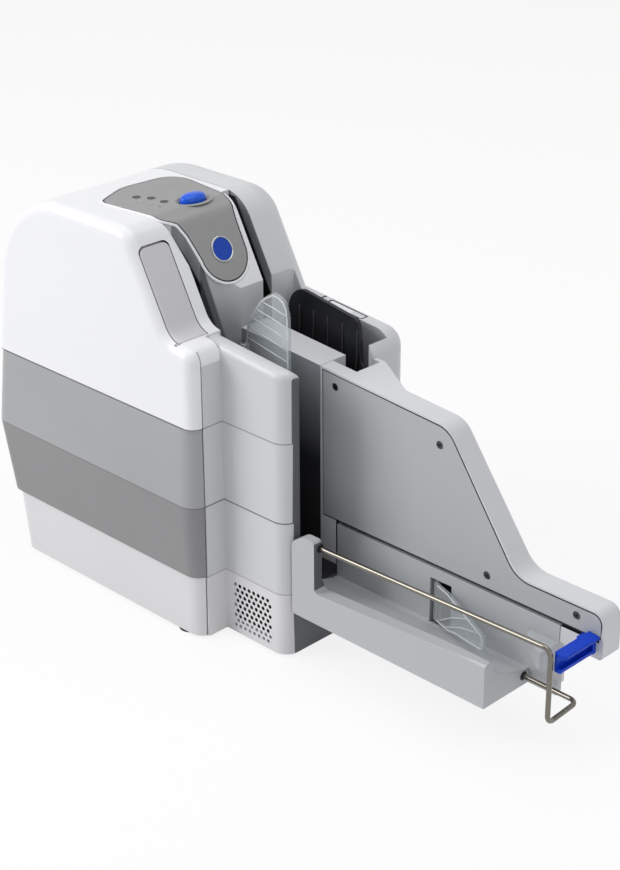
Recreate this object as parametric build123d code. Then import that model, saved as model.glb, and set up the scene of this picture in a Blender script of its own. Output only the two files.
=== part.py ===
from build123d import *
import math
import os

# ---------------------------------------------------------------------------
# Desktop cheque scanner.  Millimetres, +Z up, +X towards the exit tray.
# Modelling datum: bottom corner of the left pod, front and outer side.
# The written parts are moved so the origin is the bottom centre of the whole.
# ---------------------------------------------------------------------------

# Body envelope
BODY_WIDTH = 119.0
POD_BACK_X = -174.0          # back of the pods at the cover seam
POD_BACK_CREASE_X = -179.5   # back at the crease of the band, the widest level
POD_BACK_FOOT_X = -164.0     # back at the bottom edge
ARM_FRONT_X = 48.4           # front of the middle block and of the right arm
STEP_Y = 22.0                # outer side of the middle block
FOOT_HEIGHT = 2.0

# Levels of the body
BASE_TOP_Z = 38.5
CREASE_Z = 83.0
SEAM_Z = 131.0
HUMP_TOP_Z = 234.4
SHELF_Z = 176.0              # top of middle block and right arm at x = 0
SHELF_FALL = 0.09            # fall of the shelf tops per unit of length
CHIN_Z = 176.5               # top of the left pod at its front
CREASE_BULGE = 1.4
BASE_TUCK = 2.5
BASE_SLACK = 0.1             # how much the front strip's slot in the base is eased

# Walls and fits
COVER_WALL = 3.0
SHELL_WALL = 2.5
SEAM_GAP = 0.4
RUN_FIT = 0.05               # radial clearance of a shaft in its bore
MOVE_GAP = 0.5               # air between a moving piece and its neighbours
BEYOND = 20.0                # how far a cutting body reaches past what it cuts
JUST = 1.0                   # the same for cuts beside other pieces

# Document track
TRACK_FLOOR_Z = 44.0
TRACK_FLOOR_THICK = 2.5
GUIDE_TOP_Z = 128.0
GUIDE_WALL = 2.0
LEFT_SLOT_Y = (33.5, 42.0)
RIGHT_SLOT_Y = (79.6, 86.8)
TURN_X = -118.0
ISLAND_NOSE_X = -26.0
ISLAND_LEFT_Y = 62.3
ISLAND_RIGHT_Y = 82.3
ISLAND_END_X = 35.8
ISLAND_TOP_Z = 162.5         # top of the island block at its end

# Exit extension, tray and wire guide
PANEL_THICK = 14.0
PANEL_END_X = 233.0
PANEL_HIGH_X = 128.0
PANEL_HIGH_Z = 155.7
TAIL_RUN = 55.0              # length of the extension's low end
PANEL_LOW_X = PANEL_END_X - TAIL_RUN
PANEL_LOW_Z = 86.9
PANEL_TAIL_Z = 60.5
GROOVE_Z = 70.0
GROOVE_HEIGHT = 2.6
TRAY_SHORT = 45.7            # how far the tray ends before the extension
TRAY_END_X = PANEL_END_X - TRAY_SHORT
TRAY_OUTER_Y = 26.3
TRAY_BOTTOM_Z = 28.0
TRAY_FLOOR_Z = 37.0
WIRE_RADIUS = 1.4

# Drive train
ROLLER_RADIUS = 9.0
PINCH_RADIUS = 6.0
SHAFT_RADIUS = 2.0
ROLLER_Z = (78.0, 98.0)
PULLEY_RADIUS = 6.0
PULLEY_Z = (27.0, 34.0)


# ---------------------------------------------------------------------------
# Outline and solid helpers
# ---------------------------------------------------------------------------
def outline(corners):
    """Closed face through (a, b) corners; a third number rounds that corner."""
    count = len(corners)
    stops = []
    for i, corner in enumerate(corners):
        here = Vector(corner[0], corner[1])
        radius = corner[2] if len(corner) > 2 else 0.0
        if radius == 0.0:
            stops.append((here, None, here))
            continue
        back = (Vector(*corners[i - 1][:2]) - here).normalized()
        ahead = (Vector(*corners[(i + 1) % count][:2]) - here).normalized()
        half_angle = math.radians(back.get_angle(ahead)) / 2
        reach = radius / math.tan(half_angle)
        inward = (back + ahead).normalized()
        nearest = here + inward * (radius / math.sin(half_angle) - radius)
        stops.append((here + back * reach, nearest, here + ahead * reach))
    edges = []
    for i, (start, middle, end) in enumerate(stops):
        if middle is not None:
            edges.append(ThreePointArc(start, middle, end))
        following = stops[(i + 1) % count][0]
        if (following - end).length > 1e-6:
            edges.append(Line(end, following))
    return make_face(Wire(edges))


def slab_xy(face, low, high):
    """Extrude a plan face between two heights."""
    return extrude(Pos(0, 0, low) * face, amount=high - low, dir=(0, 0, 1))


def slab_xz(face, near, far):
    """Extrude a side-view face from y = near to y = far."""
    plane = Plane(origin=(0, near, 0), x_dir=(1, 0, 0), z_dir=(0, -1, 0))
    return extrude(plane.location * face, amount=far - near, dir=(0, 1, 0))


def slab_yz(face, low, high):
    """Extrude an end-view face from x = low to x = high."""
    plane = Plane(origin=(low, 0, 0), x_dir=(0, 1, 0), z_dir=(1, 0, 0))
    return extrude(plane.location * face, amount=high - low, dir=(1, 0, 0))


def block(x, y, z):
    """Box between the given pairs of limits."""
    corner = (Align.MIN, Align.MIN, Align.MIN)
    return Pos(x[0], y[0], z[0]) * Box(x[1] - x[0], y[1] - y[0], z[1] - z[0], align=corner)


def post(x, y, z, radius):
    """Upright cylinder between two heights."""
    low = (Align.CENTER, Align.CENTER, Align.MIN)
    return Pos(x, y, z[0]) * Cylinder(radius, z[1] - z[0], align=low)


def rod_x(x, y, z, radius):
    """Cylinder along X between two x limits."""
    return Pos(x[0], y, z) * Rot(0, 90, 0) * Cylinder(
        radius, x[1] - x[0], align=(Align.CENTER, Align.CENTER, Align.MIN))


def rod_y(x, y, z, radius):
    """Cylinder along Y between two y limits."""
    return Pos(x, y[0], z) * Rot(-90, 0, 0) * Cylinder(
        radius, y[1] - y[0], align=(Align.CENTER, Align.CENTER, Align.MIN))


def tapered_block(low, high, wall):
    """Loft between two rounded rectangles given as (z, x0, y0, x1, y1)."""
    corner = POD_CORNER - wall
    sections = []
    for z, x0, y0, x1, y1 in (low, high):
        plan = outline([(x0, y0, corner), (x1, y0, corner), (x1, y1, corner),
                        (x0, y1, POD_FAR_CORNER - wall)])
        sections.append(Pos(0, 0, z) * plan)
    return loft(sections)


def edges_on_side(solid, y, above):
    """Edges of a solid in one plane of constant y that reach above a height."""
    box_of = [(edge, edge.bounding_box()) for edge in solid.edges()]
    return [edge for edge, box in box_of
            if abs(box.min.Y - y) < 1e-3 and abs(box.max.Y - y) < 1e-3 and box.max.Z > above]


# ---------------------------------------------------------------------------
# Shared side-view profiles
# ---------------------------------------------------------------------------
HUMP_BACK_X = -157.0
HUMP_FRONT_X = -49.8
SLOPE_FOOT_X = -19.6
CHIN_FALL = 0.12
HUMP_BACK_ROUND = 57.0
SLOPE_ROUND = 14.0
FAR_SLOPE_ROUND = 24.0       # the same on the right half of the hump
CHIN_ROUND = 8.0
COVER_DEPTH = 12.0           # how far the profile runs below the seam for hollows


def shelf_z(x):
    """Height of the sloping tops of the middle block and right arm."""
    return SHELF_Z - SHELF_FALL * x


def chin_z(x):
    """Height of the left pod's low front top."""
    return CHIN_Z - CHIN_FALL * x


def left_profile(bottom):
    """Side view of the left pod and the hump down to a bottom height."""
    return outline([(POD_BACK_X, bottom), (HUMP_BACK_X, HUMP_TOP_Z, HUMP_BACK_ROUND),
                    (HUMP_FRONT_X, HUMP_TOP_Z, SLOPE_ROUND),
                    (SLOPE_FOOT_X, chin_z(SLOPE_FOOT_X), SLOPE_ROUND),
                    (0, chin_z(0), CHIN_ROUND), (0, bottom)])


def far_hump_profile(bottom):
    """Side view of the hump's right half, its slope run on down to a bottom height."""
    reach = (HUMP_TOP_Z - bottom) / (HUMP_TOP_Z - chin_z(SLOPE_FOOT_X))
    foot_x = HUMP_FRONT_X + (SLOPE_FOOT_X - HUMP_FRONT_X) * reach
    return outline([(POD_BACK_X, bottom), (HUMP_BACK_X, HUMP_TOP_Z, HUMP_BACK_ROUND),
                    (HUMP_FRONT_X, HUMP_TOP_Z, FAR_SLOPE_ROUND), (foot_x, bottom)])


def arm_profile(bottom):
    """Side view of the right arm's top, from inside the hump to its front."""
    return outline([(ARM_ROOT_X, bottom), (ARM_ROOT_X, shelf_z(ARM_ROOT_X)),
                    (ARM_FRONT_X, shelf_z(ARM_FRONT_X), ARM_FRONT_ROUND), (ARM_FRONT_X, bottom)])


def panel_top(x):
    """Height of the long upper edge of the island and the extension."""
    fall = (ISLAND_TOP_Z - PANEL_HIGH_Z) / (PANEL_HIGH_X - ISLAND_END_X)
    return ISLAND_TOP_Z - fall * (x - ISLAND_END_X)


def inset(face, amount):
    """Face drawn in by an even amount, its sharp corners kept sharp."""
    return offset(face, amount=-amount, kind=Kind.INTERSECTION)


# ---------------------------------------------------------------------------
# Lower body: base tub, bands and middle block
# ---------------------------------------------------------------------------
POD_CORNER = 10.0
POD_FAR_CORNER = 0.62 * (BODY_WIDTH - RIGHT_SLOT_Y[1])       # back corner on the right side
MID_STRIP_Y = 7.5            # where the outer pod shells stop on the front face
MID_BACK_X = -12.0
MID_TOP_ROUND = 4.6
POWER_Y = 84.0
USB_Y = 34.0
SOCKET_Z = 20.0
POWER_RADIUS = 5.5
USB_SIZE = (12.6, 11.4)
MID_CORNER = 9.0
MID_WALL_Y = LEFT_SLOT_Y[0]
MIDDLE_Y = BODY_WIDTH / 2
ARM_INNER_Y = BODY_WIDTH - 14.0
HOPPER_CORNER_Y = 90.5
HOPPER_BACK_X = -26.5
BASE_FLOOR = 3.0
ALL_X = (POD_BACK_CREASE_X - BEYOND, PANEL_END_X + BEYOND)
ALL_Y = (-BEYOND, BODY_WIDTH + BEYOND)
ALL_Z = (-BEYOND, HUMP_TOP_Z + BEYOND)

LEVELS = {
    "foot": (0.0, POD_BACK_FOOT_X, BASE_TUCK),
    "base_top": (BASE_TOP_Z, POD_BACK_FOOT_X - 4.5, BASE_TUCK - 0.7),
    "band_foot": (BASE_TOP_Z, POD_BACK_FOOT_X - 8.0, 0.8),
    "crease": (CREASE_Z, POD_BACK_CREASE_X, -CREASE_BULGE),
    "seam": (SEAM_Z, POD_BACK_X, 0.0),
}


def level_rect(level, front, wall):
    """Rounded-rectangle limits of the body at one level, inset by a wall."""
    z, back, side = LEVELS[level]
    return (z, back + wall, side + wall, front - wall, BODY_WIDTH - side - wall)


def ring(low, high, front, wall):
    """Open tube between two levels that follows the draft of the body."""
    outer = tapered_block(level_rect(low, front, 0), level_rect(high, front, 0), 0)
    inner = tapered_block(level_rect(low, front, wall), level_rect(high, front, wall), wall)
    return outer - inner


def band_tube(front):
    """Both bands of the body as one open tube with a crease between them."""
    lower = ring("band_foot", "crease", front, SHELL_WALL)
    upper = ring("crease", "seam", front, SHELL_WALL)
    return lower + upper


def connector_holes():
    """Openings for the power and data sockets in the back of the base."""
    back = (POD_BACK_FOOT_X - BEYOND, POD_BACK_FOOT_X + BEYOND)
    hole = rod_x(back, POWER_Y, SOCKET_Z, POWER_RADIUS + MOVE_GAP)
    hole += block(back, (USB_Y - USB_SIZE[0] / 2, USB_Y + USB_SIZE[0] / 2),
                  (SOCKET_Z - USB_SIZE[1] / 2, SOCKET_Z + USB_SIZE[1] / 2))
    return hole


def base_tub():
    """Open tub under the pods and the right arm, the lowest stretch of the body."""
    pod = tapered_block(level_rect("foot", 0, 0), level_rect("base_top", 0, 0), 0)
    arm_y = (ISLAND_LEFT_Y + SEAM_GAP, BODY_WIDTH - BASE_TUCK)
    arm_plan = outline([(-2 * POD_CORNER, arm_y[0]), (ARM_FRONT_X, arm_y[0]),
                        (ARM_FRONT_X, arm_y[1], POD_CORNER), (-2 * POD_CORNER, arm_y[1])])
    arm = slab_xy(arm_plan, 0, BASE_TOP_Z)
    wall = SHELL_WALL
    inner = tapered_block(level_rect("foot", 0, wall), level_rect("base_top", 0, wall), wall)
    inner += block((-2 * POD_CORNER, ARM_FRONT_X - wall), (arm_y[0] + wall, arm_y[1] - wall),
                   (0, BASE_TOP_Z))
    inner -= block(ALL_X, ALL_Y, (-BEYOND, BASE_FLOOR))
    tub = pod + arm - inner
    tub -= block((-wall - BASE_SLACK, JUST), (MID_STRIP_Y, ISLAND_LEFT_Y + SEAM_GAP), ALL_Z)
    return tub - connector_holes()


def band_shell_left():
    """Left part of the bands, from the back's middle to the pod's front strip."""
    keep = block(ALL_X, (-BEYOND, MIDDLE_Y - SEAM_GAP / 2), (BASE_TOP_Z, SEAM_Z))
    keep -= block((-POD_CORNER, JUST), (MID_STRIP_Y, MIDDLE_Y), (BASE_TOP_Z, SEAM_Z))
    return band_tube(0) & keep


def band_shell_right():
    """Right part of the bands, from the back's middle to the arm's front corner."""
    keep = block(ALL_X, (MIDDLE_Y + SEAM_GAP / 2, BODY_WIDTH + BEYOND), (BASE_TOP_Z, SEAM_Z))
    keep -= block((TURN_X, ARM_FRONT_X + JUST), (MIDDLE_Y, HOPPER_CORNER_Y), (BASE_TOP_Z, SEAM_Z))
    return band_tube(ARM_FRONT_X) & keep


def mid_plan(wall):
    """Plan of the middle block; with a wall, the hollow that is open at the back."""
    back = MID_BACK_X - wall
    front = ARM_FRONT_X - wall
    inner = MID_WALL_Y - wall
    return outline([(back, STEP_Y + wall), (front, STEP_Y + wall, MID_CORNER - wall),
                    (front, inner), (back, inner)])


def mid_strip(z):
    """Part of the middle shell that shows on the pod's front face."""
    return block((-SHELL_WALL, 0), (MID_STRIP_Y + SEAM_GAP, STEP_Y + SHELL_WALL), z)


def mid_shell(z):
    """Hollow stretch of the middle block between two heights."""
    low, high = z
    shell = slab_xy(mid_plan(0), low, high) - slab_xy(mid_plan(SHELL_WALL), low, high)
    return shell + mid_strip(z)


VENT_ROWS = 9
VENT_COLUMNS = 8
VENT_PITCH = 3.75
VENT_ROW_PITCH = 3.3
VENT_START_X = 7.4
VENT_TOP_Z = 31.2
VENT_RADIUS = 1.15


def mid_base_shell():
    """Bottom stretch of the middle block, with the vent grille in its side."""
    front_y = ISLAND_LEFT_Y
    plan = [(0, STEP_Y), (ARM_FRONT_X, STEP_Y, MID_CORNER), (ARM_FRONT_X, front_y), (0, front_y)]
    wall = SHELL_WALL
    hollow = [(-JUST, STEP_Y + wall), (ARM_FRONT_X - wall, STEP_Y + wall, MID_CORNER - wall),
              (ARM_FRONT_X - wall, front_y + JUST), (-JUST, front_y + JUST)]
    shell = slab_xy(outline(plan), 0, BASE_TOP_Z)
    shell -= slab_xy(outline(hollow), BASE_FLOOR, BASE_TOP_Z)
    shell += mid_strip((0, BASE_TOP_Z))
    for row in range(VENT_ROWS):
        shift = VENT_PITCH / 2 if row % 2 else 0.0
        for column in range(VENT_COLUMNS):
            x = VENT_START_X + shift + column * VENT_PITCH
            z = VENT_TOP_Z - row * VENT_ROW_PITCH
            shell -= rod_y(x, (STEP_Y - JUST, STEP_Y + wall + JUST), z, VENT_RADIUS)
    return shell


def mid_top_shell():
    """Closed top of the middle block, rounded along its upper edges."""
    side = outline([(MID_BACK_X, SEAM_Z), (MID_BACK_X, shelf_z(MID_BACK_X)),
                    (ARM_FRONT_X, shelf_z(ARM_FRONT_X)), (ARM_FRONT_X, SEAM_Z)])
    solid = slab_xy(mid_plan(0), SEAM_Z, HUMP_TOP_Z) & slab_xz(side, 0, BODY_WIDTH)
    top_edges = [edge for edge in solid.edges()
                 if edge.bounding_box().min.Z > shelf_z(ARM_FRONT_X) - JUST
                 and edge.center().X > MID_BACK_X + JUST]
    solid = fillet(top_edges, MID_TOP_ROUND)
    under = COVER_WALL
    back = MID_BACK_X - under
    hollow_side = outline([(back, SEAM_Z - under), (back, shelf_z(back) - under),
                           (ARM_FRONT_X, shelf_z(ARM_FRONT_X) - under),
                           (ARM_FRONT_X, SEAM_Z - under)])
    hollow = slab_xy(mid_plan(SHELL_WALL), SEAM_Z - under, HUMP_TOP_Z)
    hollow = hollow & slab_xz(hollow_side, 0, BODY_WIDTH)
    return solid - hollow + mid_strip((SEAM_Z, chin_z(0) - STRIP_DROP))


# ---------------------------------------------------------------------------
# Upper covers
# ---------------------------------------------------------------------------
LEFT_EDGE_ROUND = 7.0
ARM_ROOT_X = -60.0           # where the right arm's top starts inside the hump
ARM_FRONT_ROUND = 12.0
ARM_EDGE_ROUND = 9.0
HUMP_SPLIT_Y = 86.4
RIGHT_SLOT_X = -60.0         # where the right slot comes out of the hump
TUNNEL_TOP_Z = 160.0         # head room for documents under the hump
DOOR_Y = (4.8, 25.2)
DOOR_RUN = 12.1              # down the slope to the door's top edge
DOOR_REACH = 12.0            # depth either side of the slope that holds the door
DOOR_CORNER = 4.0
DOOR_TOP_GAP = 0.6           # extra air above the door for its swing
DOOR_HINGE_X = -14.6
HINGE_LIFT = 0.15            # how much the rounding at the slope's foot lifts the skin there
DOOR_SKIN = 2.4
DOOR_LIP = 2.0               # ledge of the cover all round under the door
BAY_BACK_X = -46.0
DOOR_PIN = 0.8
PIN_DEPTH = 2.0              # how far each hinge bore goes into door and cover
PIN_SLACK = 0.2              # how much shorter each pin's half is than its bore
BAY_FLOOR_Z = 146.0          # shelf that the ink cartridge stands on
PANEL_SKIN = 1.6
PANEL_SINK = 1.4
SKIN_Y = (15.0, 90.0)
BUTTON_X = -61.5
BUTTON_Y = 60.5
BUTTON_LENGTH = 12.0         # along X
BUTTON_WIDTH = 21.0          # along Y
BUTTON_SEAT_Z = HUMP_TOP_Z - 4.4     # under side of the button's cap
BUTTON_WELL = 10.0           # depth of the button's hole through cover and panel
BUTTON_DOME = 3.0
BUTTON_TRAVEL = 1.8
BUTTON_RIM = 1.0
BUTTON_TAPER = 35
BUTTON_COLLAR = 1.5
LIGHT_PLACES = ((-86.9, 41.0), (-79.7, 45.6), (-70.0, 46.7))
MARK_RADIUS = 2.4
MARK_DEPTH = 0.4
MARK_PROUD = 0.1
BADGE_RUN = 26.0             # down the slope to the middle of the badge
BADGE_RADIUS = 7.25
BOARD_THICK = 1.6
PANEL_BOARD_X = (-93.0, -52.0)
PANEL_BOARD_Y = (46.0, 75.0)
BOARD_POSTS = ((-88.0, 50.0), (-88.0, 71.0))
BOARD_POST_RADIUS = 2.5
SWITCH_SIZE = 8.0
SWITCH_HEIGHT = 3.4
BOARD_TOP_Z = BUTTON_SEAT_Z - BUTTON_COLLAR - BUTTON_TRAVEL - MOVE_GAP - SWITCH_HEIGHT
LABEL_X = 11.5
LABEL_Y = BODY_WIDTH - 10.5
LABEL_SIZE = (29.0, 7.0)
LABEL_CORNER = 1.0
LABEL_DEPTH = 0.5
TONGUE_BEND_X = -36.0
TONGUE_ROOT_X = -90.0        # how far back the tongue's hollow runs under the hump
MOUTH_START = (-51.0, 26.4)  # corner where the left slot opens under the hump
MOUTH_BENDS = ((-34.0, 42.0, 12.0), (-44.5, 38.0, 9.0), (-49.5, 33.0, 4.0))
PANEL_FLAT = ((-95.0, 22.6, 6.0), (-105.0, 46.0, 25.0), (-102.0, 84.0, 13.0), (-66.0, 79.8),
              (-47.0, 77.0), (-47.0, 37.5), (-52.0, 27.4, 5.0))
PANEL_NECK = ((-2.0, 33.0), (13.0, 40.1, 14.0))      # run and y of the neck's left side
PANEL_TAIL = (44.0, 15.6)    # run of the panel's low end and half its width
PANEL_FAR = ((13.0, 16.2), (-2.0, 17.5))             # run and offset of its right side
PANEL_DEPTH = 12.0
STRIP_DROP = 9.0             # how far the front strip stops below the chin


def left_slot_plan(margin):
    """Plan of the left slot's mouth, with the curved start under the hump."""
    near, far = LEFT_SLOT_Y
    start_x, start_y = MOUTH_START
    wide, bend, back = MOUTH_BENDS
    return outline([(start_x - margin, start_y - margin), (TONGUE_BEND_X, near - margin),
                    (ARM_FRONT_X, near - margin), (ARM_FRONT_X, far + margin),
                    (wide[0], wide[1] + margin, wide[2]), (bend[0], bend[1] + margin, bend[2]),
                    (back[0] - margin, back[1] + margin, back[2])])


def slope_plane():
    """Plane of the sloping front: x runs down the slope, y across the body."""
    run = Vector(SLOPE_FOOT_X - HUMP_FRONT_X, 0, chin_z(SLOPE_FOOT_X) - HUMP_TOP_Z)
    down = run.normalized()
    normal = Vector(-down.Z, 0, down.X)
    return Plane(origin=(HUMP_FRONT_X, MIDDLE_Y, HUMP_TOP_Z), x_dir=down, z_dir=normal)


def panel_region(gap):
    """Volume that the control panel's outline covers, on the hump and down the slope."""
    back_near, back, back_far, far, front_far, front_near, near = PANEL_FLAT
    flat = outline([(back_near[0] - gap, back_near[1] - gap, back_near[2]),
                    (back[0] - gap, back[1], back[2]),
                    (back_far[0] - gap, back_far[1] + gap, back_far[2]),
                    (far[0], far[1] + gap), (front_far[0], front_far[1] + gap),
                    (front_near[0], front_near[1] - gap), (near[0], near[1] - gap, near[2])])
    end, half = (value + gap for value in PANEL_TAIL)
    root, neck = PANEL_NECK
    far_neck, far_root = PANEL_FAR
    slope = outline([(root[0], root[1] - MIDDLE_Y - gap), (neck[0], neck[1] - MIDDLE_Y - gap, neck[2]),
                     (end - half, -half), (end, -half, half), (end, half, half),
                     (far_neck[0], far_neck[1] + gap), (far_root[0], far_root[1] + gap)])
    on_slope = extrude(slope_plane().location * slope, amount=PANEL_DEPTH, both=True)
    return slab_xy(flat, TUNNEL_TOP_Z, HUMP_TOP_Z + JUST) + on_slope


def cover_skin(low, high):
    """Layer along the cover's side view between two depths below its surface."""
    outer = left_profile(SEAM_Z)
    upper = outer if high == 0 else inset(outer, high)
    return slab_xz(upper - inset(outer, low), SKIN_Y[0], SKIN_Y[1])


def button_ellipse(margin, low, high):
    """Upright oval under the button, wider by a margin, between two heights."""
    face = Pos(BUTTON_X, BUTTON_Y) * Ellipse(BUTTON_LENGTH / 2 + margin, BUTTON_WIDTH / 2 + margin)
    return slab_xy(face, low, high)


def door_region(gap, top_gap):
    """Volume that the service door takes, square to the slope, with gaps round it."""
    near, far = DOOR_Y[0] - gap, DOOR_Y[1] + gap
    start = DOOR_RUN - top_gap
    end = start + HUMP_TOP_Z - SEAM_Z
    face = outline([(start, near - MIDDLE_Y, DOOR_CORNER), (end, near - MIDDLE_Y),
                    (end, far - MIDDLE_Y), (start, far - MIDDLE_Y, DOOR_CORNER)])
    prism = extrude(slope_plane().location * face, amount=DOOR_REACH, both=True)
    low = hinge_z() - DOOR_REACH
    return prism & block((ALL_X[0], DOOR_HINGE_X + gap), (near, far), (low, HUMP_TOP_Z))


def door_skin(gap, top_gap):
    """Stretch of the cover's skin that the door takes, with gaps round and below it."""
    outer = left_profile(SEAM_Z)
    layer = slab_xz(outer - inset(outer, DOOR_SKIN + gap), 0, BODY_WIDTH)
    return layer & door_region(gap, top_gap)


def hinge_z():
    """Height of the door's hinge, in the middle of its skin."""
    return chin_z(DOOR_HINGE_X) + HINGE_LIFT - DOOR_SKIN / 2


def left_cover_hollow():
    """Inside of the left cover: the pod, the back of the hump and the tongue."""
    side = inset(left_profile(SEAM_Z - COVER_DEPTH), COVER_WALL)
    pod = slab_xz(side, COVER_WALL, LEFT_SLOT_Y[0] - COVER_WALL)
    pod -= slab_xy(left_slot_plan(COVER_WALL), 0, HUMP_TOP_Z)
    pod -= block((MID_BACK_X - COVER_WALL, JUST), (STEP_Y - COVER_WALL, MID_WALL_Y), ALL_Z)
    pod -= block((BAY_BACK_X, MID_BACK_X), (0, LEFT_SLOT_Y[0]), (BAY_FLOOR_Z - SHELL_WALL, BAY_FLOOR_Z))
    hump = slab_xz(side, COVER_WALL, HUMP_SPLIT_Y - COVER_WALL)
    hump -= block((RIGHT_SLOT_X - COVER_WALL, ALL_X[1]), ALL_Y, ALL_Z)
    wall = COVER_WALL
    plan = outline([(TONGUE_ROOT_X, LEFT_SLOT_Y[1] + wall), (TONGUE_BEND_X - wall, LEFT_SLOT_Y[1] + wall),
                    (ISLAND_NOSE_X - wall, ISLAND_LEFT_Y + wall),
                    (ISLAND_NOSE_X - wall, RIGHT_SLOT_Y[0] - wall),
                    (TONGUE_ROOT_X, RIGHT_SLOT_Y[0] - wall)])
    tongue = slab_xz(side, 0, HUMP_SPLIT_Y) & slab_xy(plan, 0, HUMP_TOP_Z)
    return pod + hump + tongue


def left_outside():
    """Solid of the left cover's outer shape, rounded along its side edge."""
    solid = slab_xz(left_profile(SEAM_Z), 0, HUMP_SPLIT_Y)
    return fillet(edges_on_side(solid, 0, SEAM_Z + JUST), LEFT_EDGE_ROUND)


def left_cover():
    """White outer cover: left pod, top of the hump and the central tongue."""
    solid = left_outside()
    front = (ISLAND_NOSE_X, JUST)
    solid -= block((RIGHT_SLOT_X, JUST), (RIGHT_SLOT_Y[0], HUMP_SPLIT_Y + JUST), ALL_Z)
    solid -= slab_xy(left_slot_plan(0), *ALL_Z)
    solid -= block(front, (LEFT_SLOT_Y[0], RIGHT_SLOT_Y[1]), ALL_Z)
    solid -= block((MID_BACK_X, JUST), (STEP_Y, LEFT_SLOT_Y[1]), ALL_Z)
    solid -= block((-SHELL_WALL, JUST), (MID_STRIP_Y, STEP_Y + JUST), (0, chin_z(0) - STRIP_DROP))
    solid -= block((TURN_X, 0), LEFT_SLOT_Y, (0, TUNNEL_TOP_Z))
    solid -= block((TURN_X - OUTER_TURN_RADIUS - GUIDE_WALL, 0),
                   (RIGHT_SLOT_Y[0], HUMP_SPLIT_Y + JUST), (0, TUNNEL_TOP_Z))
    edge_y = LEFT_SLOT_Y[1] - JUST
    flare = outline([(TONGUE_BEND_X, edge_y), (ISLAND_NOSE_X, ISLAND_LEFT_Y),
                     (ISLAND_NOSE_X + JUST, edge_y)])
    solid -= slab_xy(flare, *ALL_Z)
    solid -= left_cover_hollow()
    solid -= door_skin(MOVE_GAP, MOVE_GAP + DOOR_TOP_GAP)
    solid -= door_region(-DOOR_LIP, -DOOR_LIP) & left_outside()
    solid -= rod_y(DOOR_HINGE_X, (DOOR_Y[0] - MOVE_GAP, DOOR_Y[1] + MOVE_GAP), hinge_z(),
                   DOOR_SKIN / 2 + MOVE_GAP)
    solid -= cover_skin(PANEL_SINK + SEAM_GAP / 2, 0) & panel_region(SEAM_GAP)
    solid -= button_ellipse(MOVE_GAP, HUMP_TOP_Z - BUTTON_WELL, HUMP_TOP_Z)
    for y in DOOR_Y:
        solid -= rod_y(DOOR_HINGE_X, (y - PIN_DEPTH, y + PIN_DEPTH), hinge_z(), DOOR_PIN + RUN_FIT)
    return solid


def rounded_slab(face, wall, edge_round):
    """Slab under the right cover's skin, rounded along its far side; a wall insets it."""
    far = BODY_WIDTH - wall
    solid = slab_xz(inset(face, wall) if wall else face, RIGHT_SLOT_Y[1] + wall, far)
    return fillet(edges_on_side(solid, far, SEAM_Z + JUST), edge_round - wall)


def right_body(bottom, wall):
    """Right half of the hump and the arm in front of it, down to a bottom height."""
    hump = rounded_slab(far_hump_profile(bottom), wall, POD_FAR_CORNER)
    return hump + rounded_slab(arm_profile(bottom), wall, ARM_EDGE_ROUND)


def right_cover():
    """Light grey cover: right half of the hump and the shelf of the right arm."""
    solid = right_body(SEAM_Z, 0)
    recess_y = (RIGHT_SLOT_Y[1] - JUST, ARM_INNER_Y)
    solid -= block((HOPPER_BACK_X, ARM_FRONT_X - COVER_WALL), recess_y, ALL_Z)
    solid -= block((ISLAND_END_X, ARM_FRONT_X + JUST), (recess_y[0], HOPPER_CORNER_Y), ALL_Z)
    hollow = right_body(SEAM_Z - COVER_DEPTH, COVER_WALL)
    hollow -= block((HOPPER_BACK_X - COVER_WALL, ALL_X[1]), (0, ARM_INNER_Y + COVER_WALL), ALL_Z)
    solid -= hollow
    label = Pos(LABEL_X, LABEL_Y) * RectangleRounded(LABEL_SIZE[0], LABEL_SIZE[1], LABEL_CORNER)
    return solid - slab_xy(label, shelf_z(LABEL_X) - LABEL_DEPTH, HUMP_TOP_Z)


def door_hinge_pins():
    """Two short pins that carry the service door in the cover."""
    half = PIN_DEPTH - PIN_SLACK
    return [rod_y(DOOR_HINGE_X, (y - half, y + half), hinge_z(), DOOR_PIN) for y in DOOR_Y]


def service_door():
    """Flap over the ink cartridge; its lower edge is a round knuckle on the hinge."""
    door = door_skin(0, 0) & left_outside()
    door += rod_y(DOOR_HINGE_X, DOOR_Y, hinge_z(), DOOR_SKIN / 2)
    for y in DOOR_Y:
        door -= rod_y(DOOR_HINGE_X, (y - PIN_DEPTH, y + PIN_DEPTH), hinge_z(), DOOR_PIN + RUN_FIT)
    return door


def control_panel():
    """Grey panel let into the hump and the slope, with a hole for the button."""
    panel = cover_skin(PANEL_SINK, PANEL_SINK - PANEL_SKIN) & panel_region(0)
    panel -= button_ellipse(MOVE_GAP, HUMP_TOP_Z - BUTTON_WELL, HUMP_TOP_Z + BUTTON_WELL)
    for mark in panel_marks():
        panel -= mark
    return panel - badge()


def power_button():
    """Domed oval button with a collar that keeps it in, over its switch."""
    rim_z = HUMP_TOP_Z + BUTTON_RIM
    cap = button_ellipse(0, BUTTON_SEAT_Z, rim_z)
    face = Pos(BUTTON_X, BUTTON_Y, rim_z) * Ellipse(BUTTON_LENGTH / 2, BUTTON_WIDTH / 2)
    dome = extrude(face, amount=BUTTON_DOME, taper=BUTTON_TAPER)
    collar = button_ellipse(BUTTON_COLLAR, BUTTON_SEAT_Z - BUTTON_COLLAR, BUTTON_SEAT_Z)
    return cap + dome + collar


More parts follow.
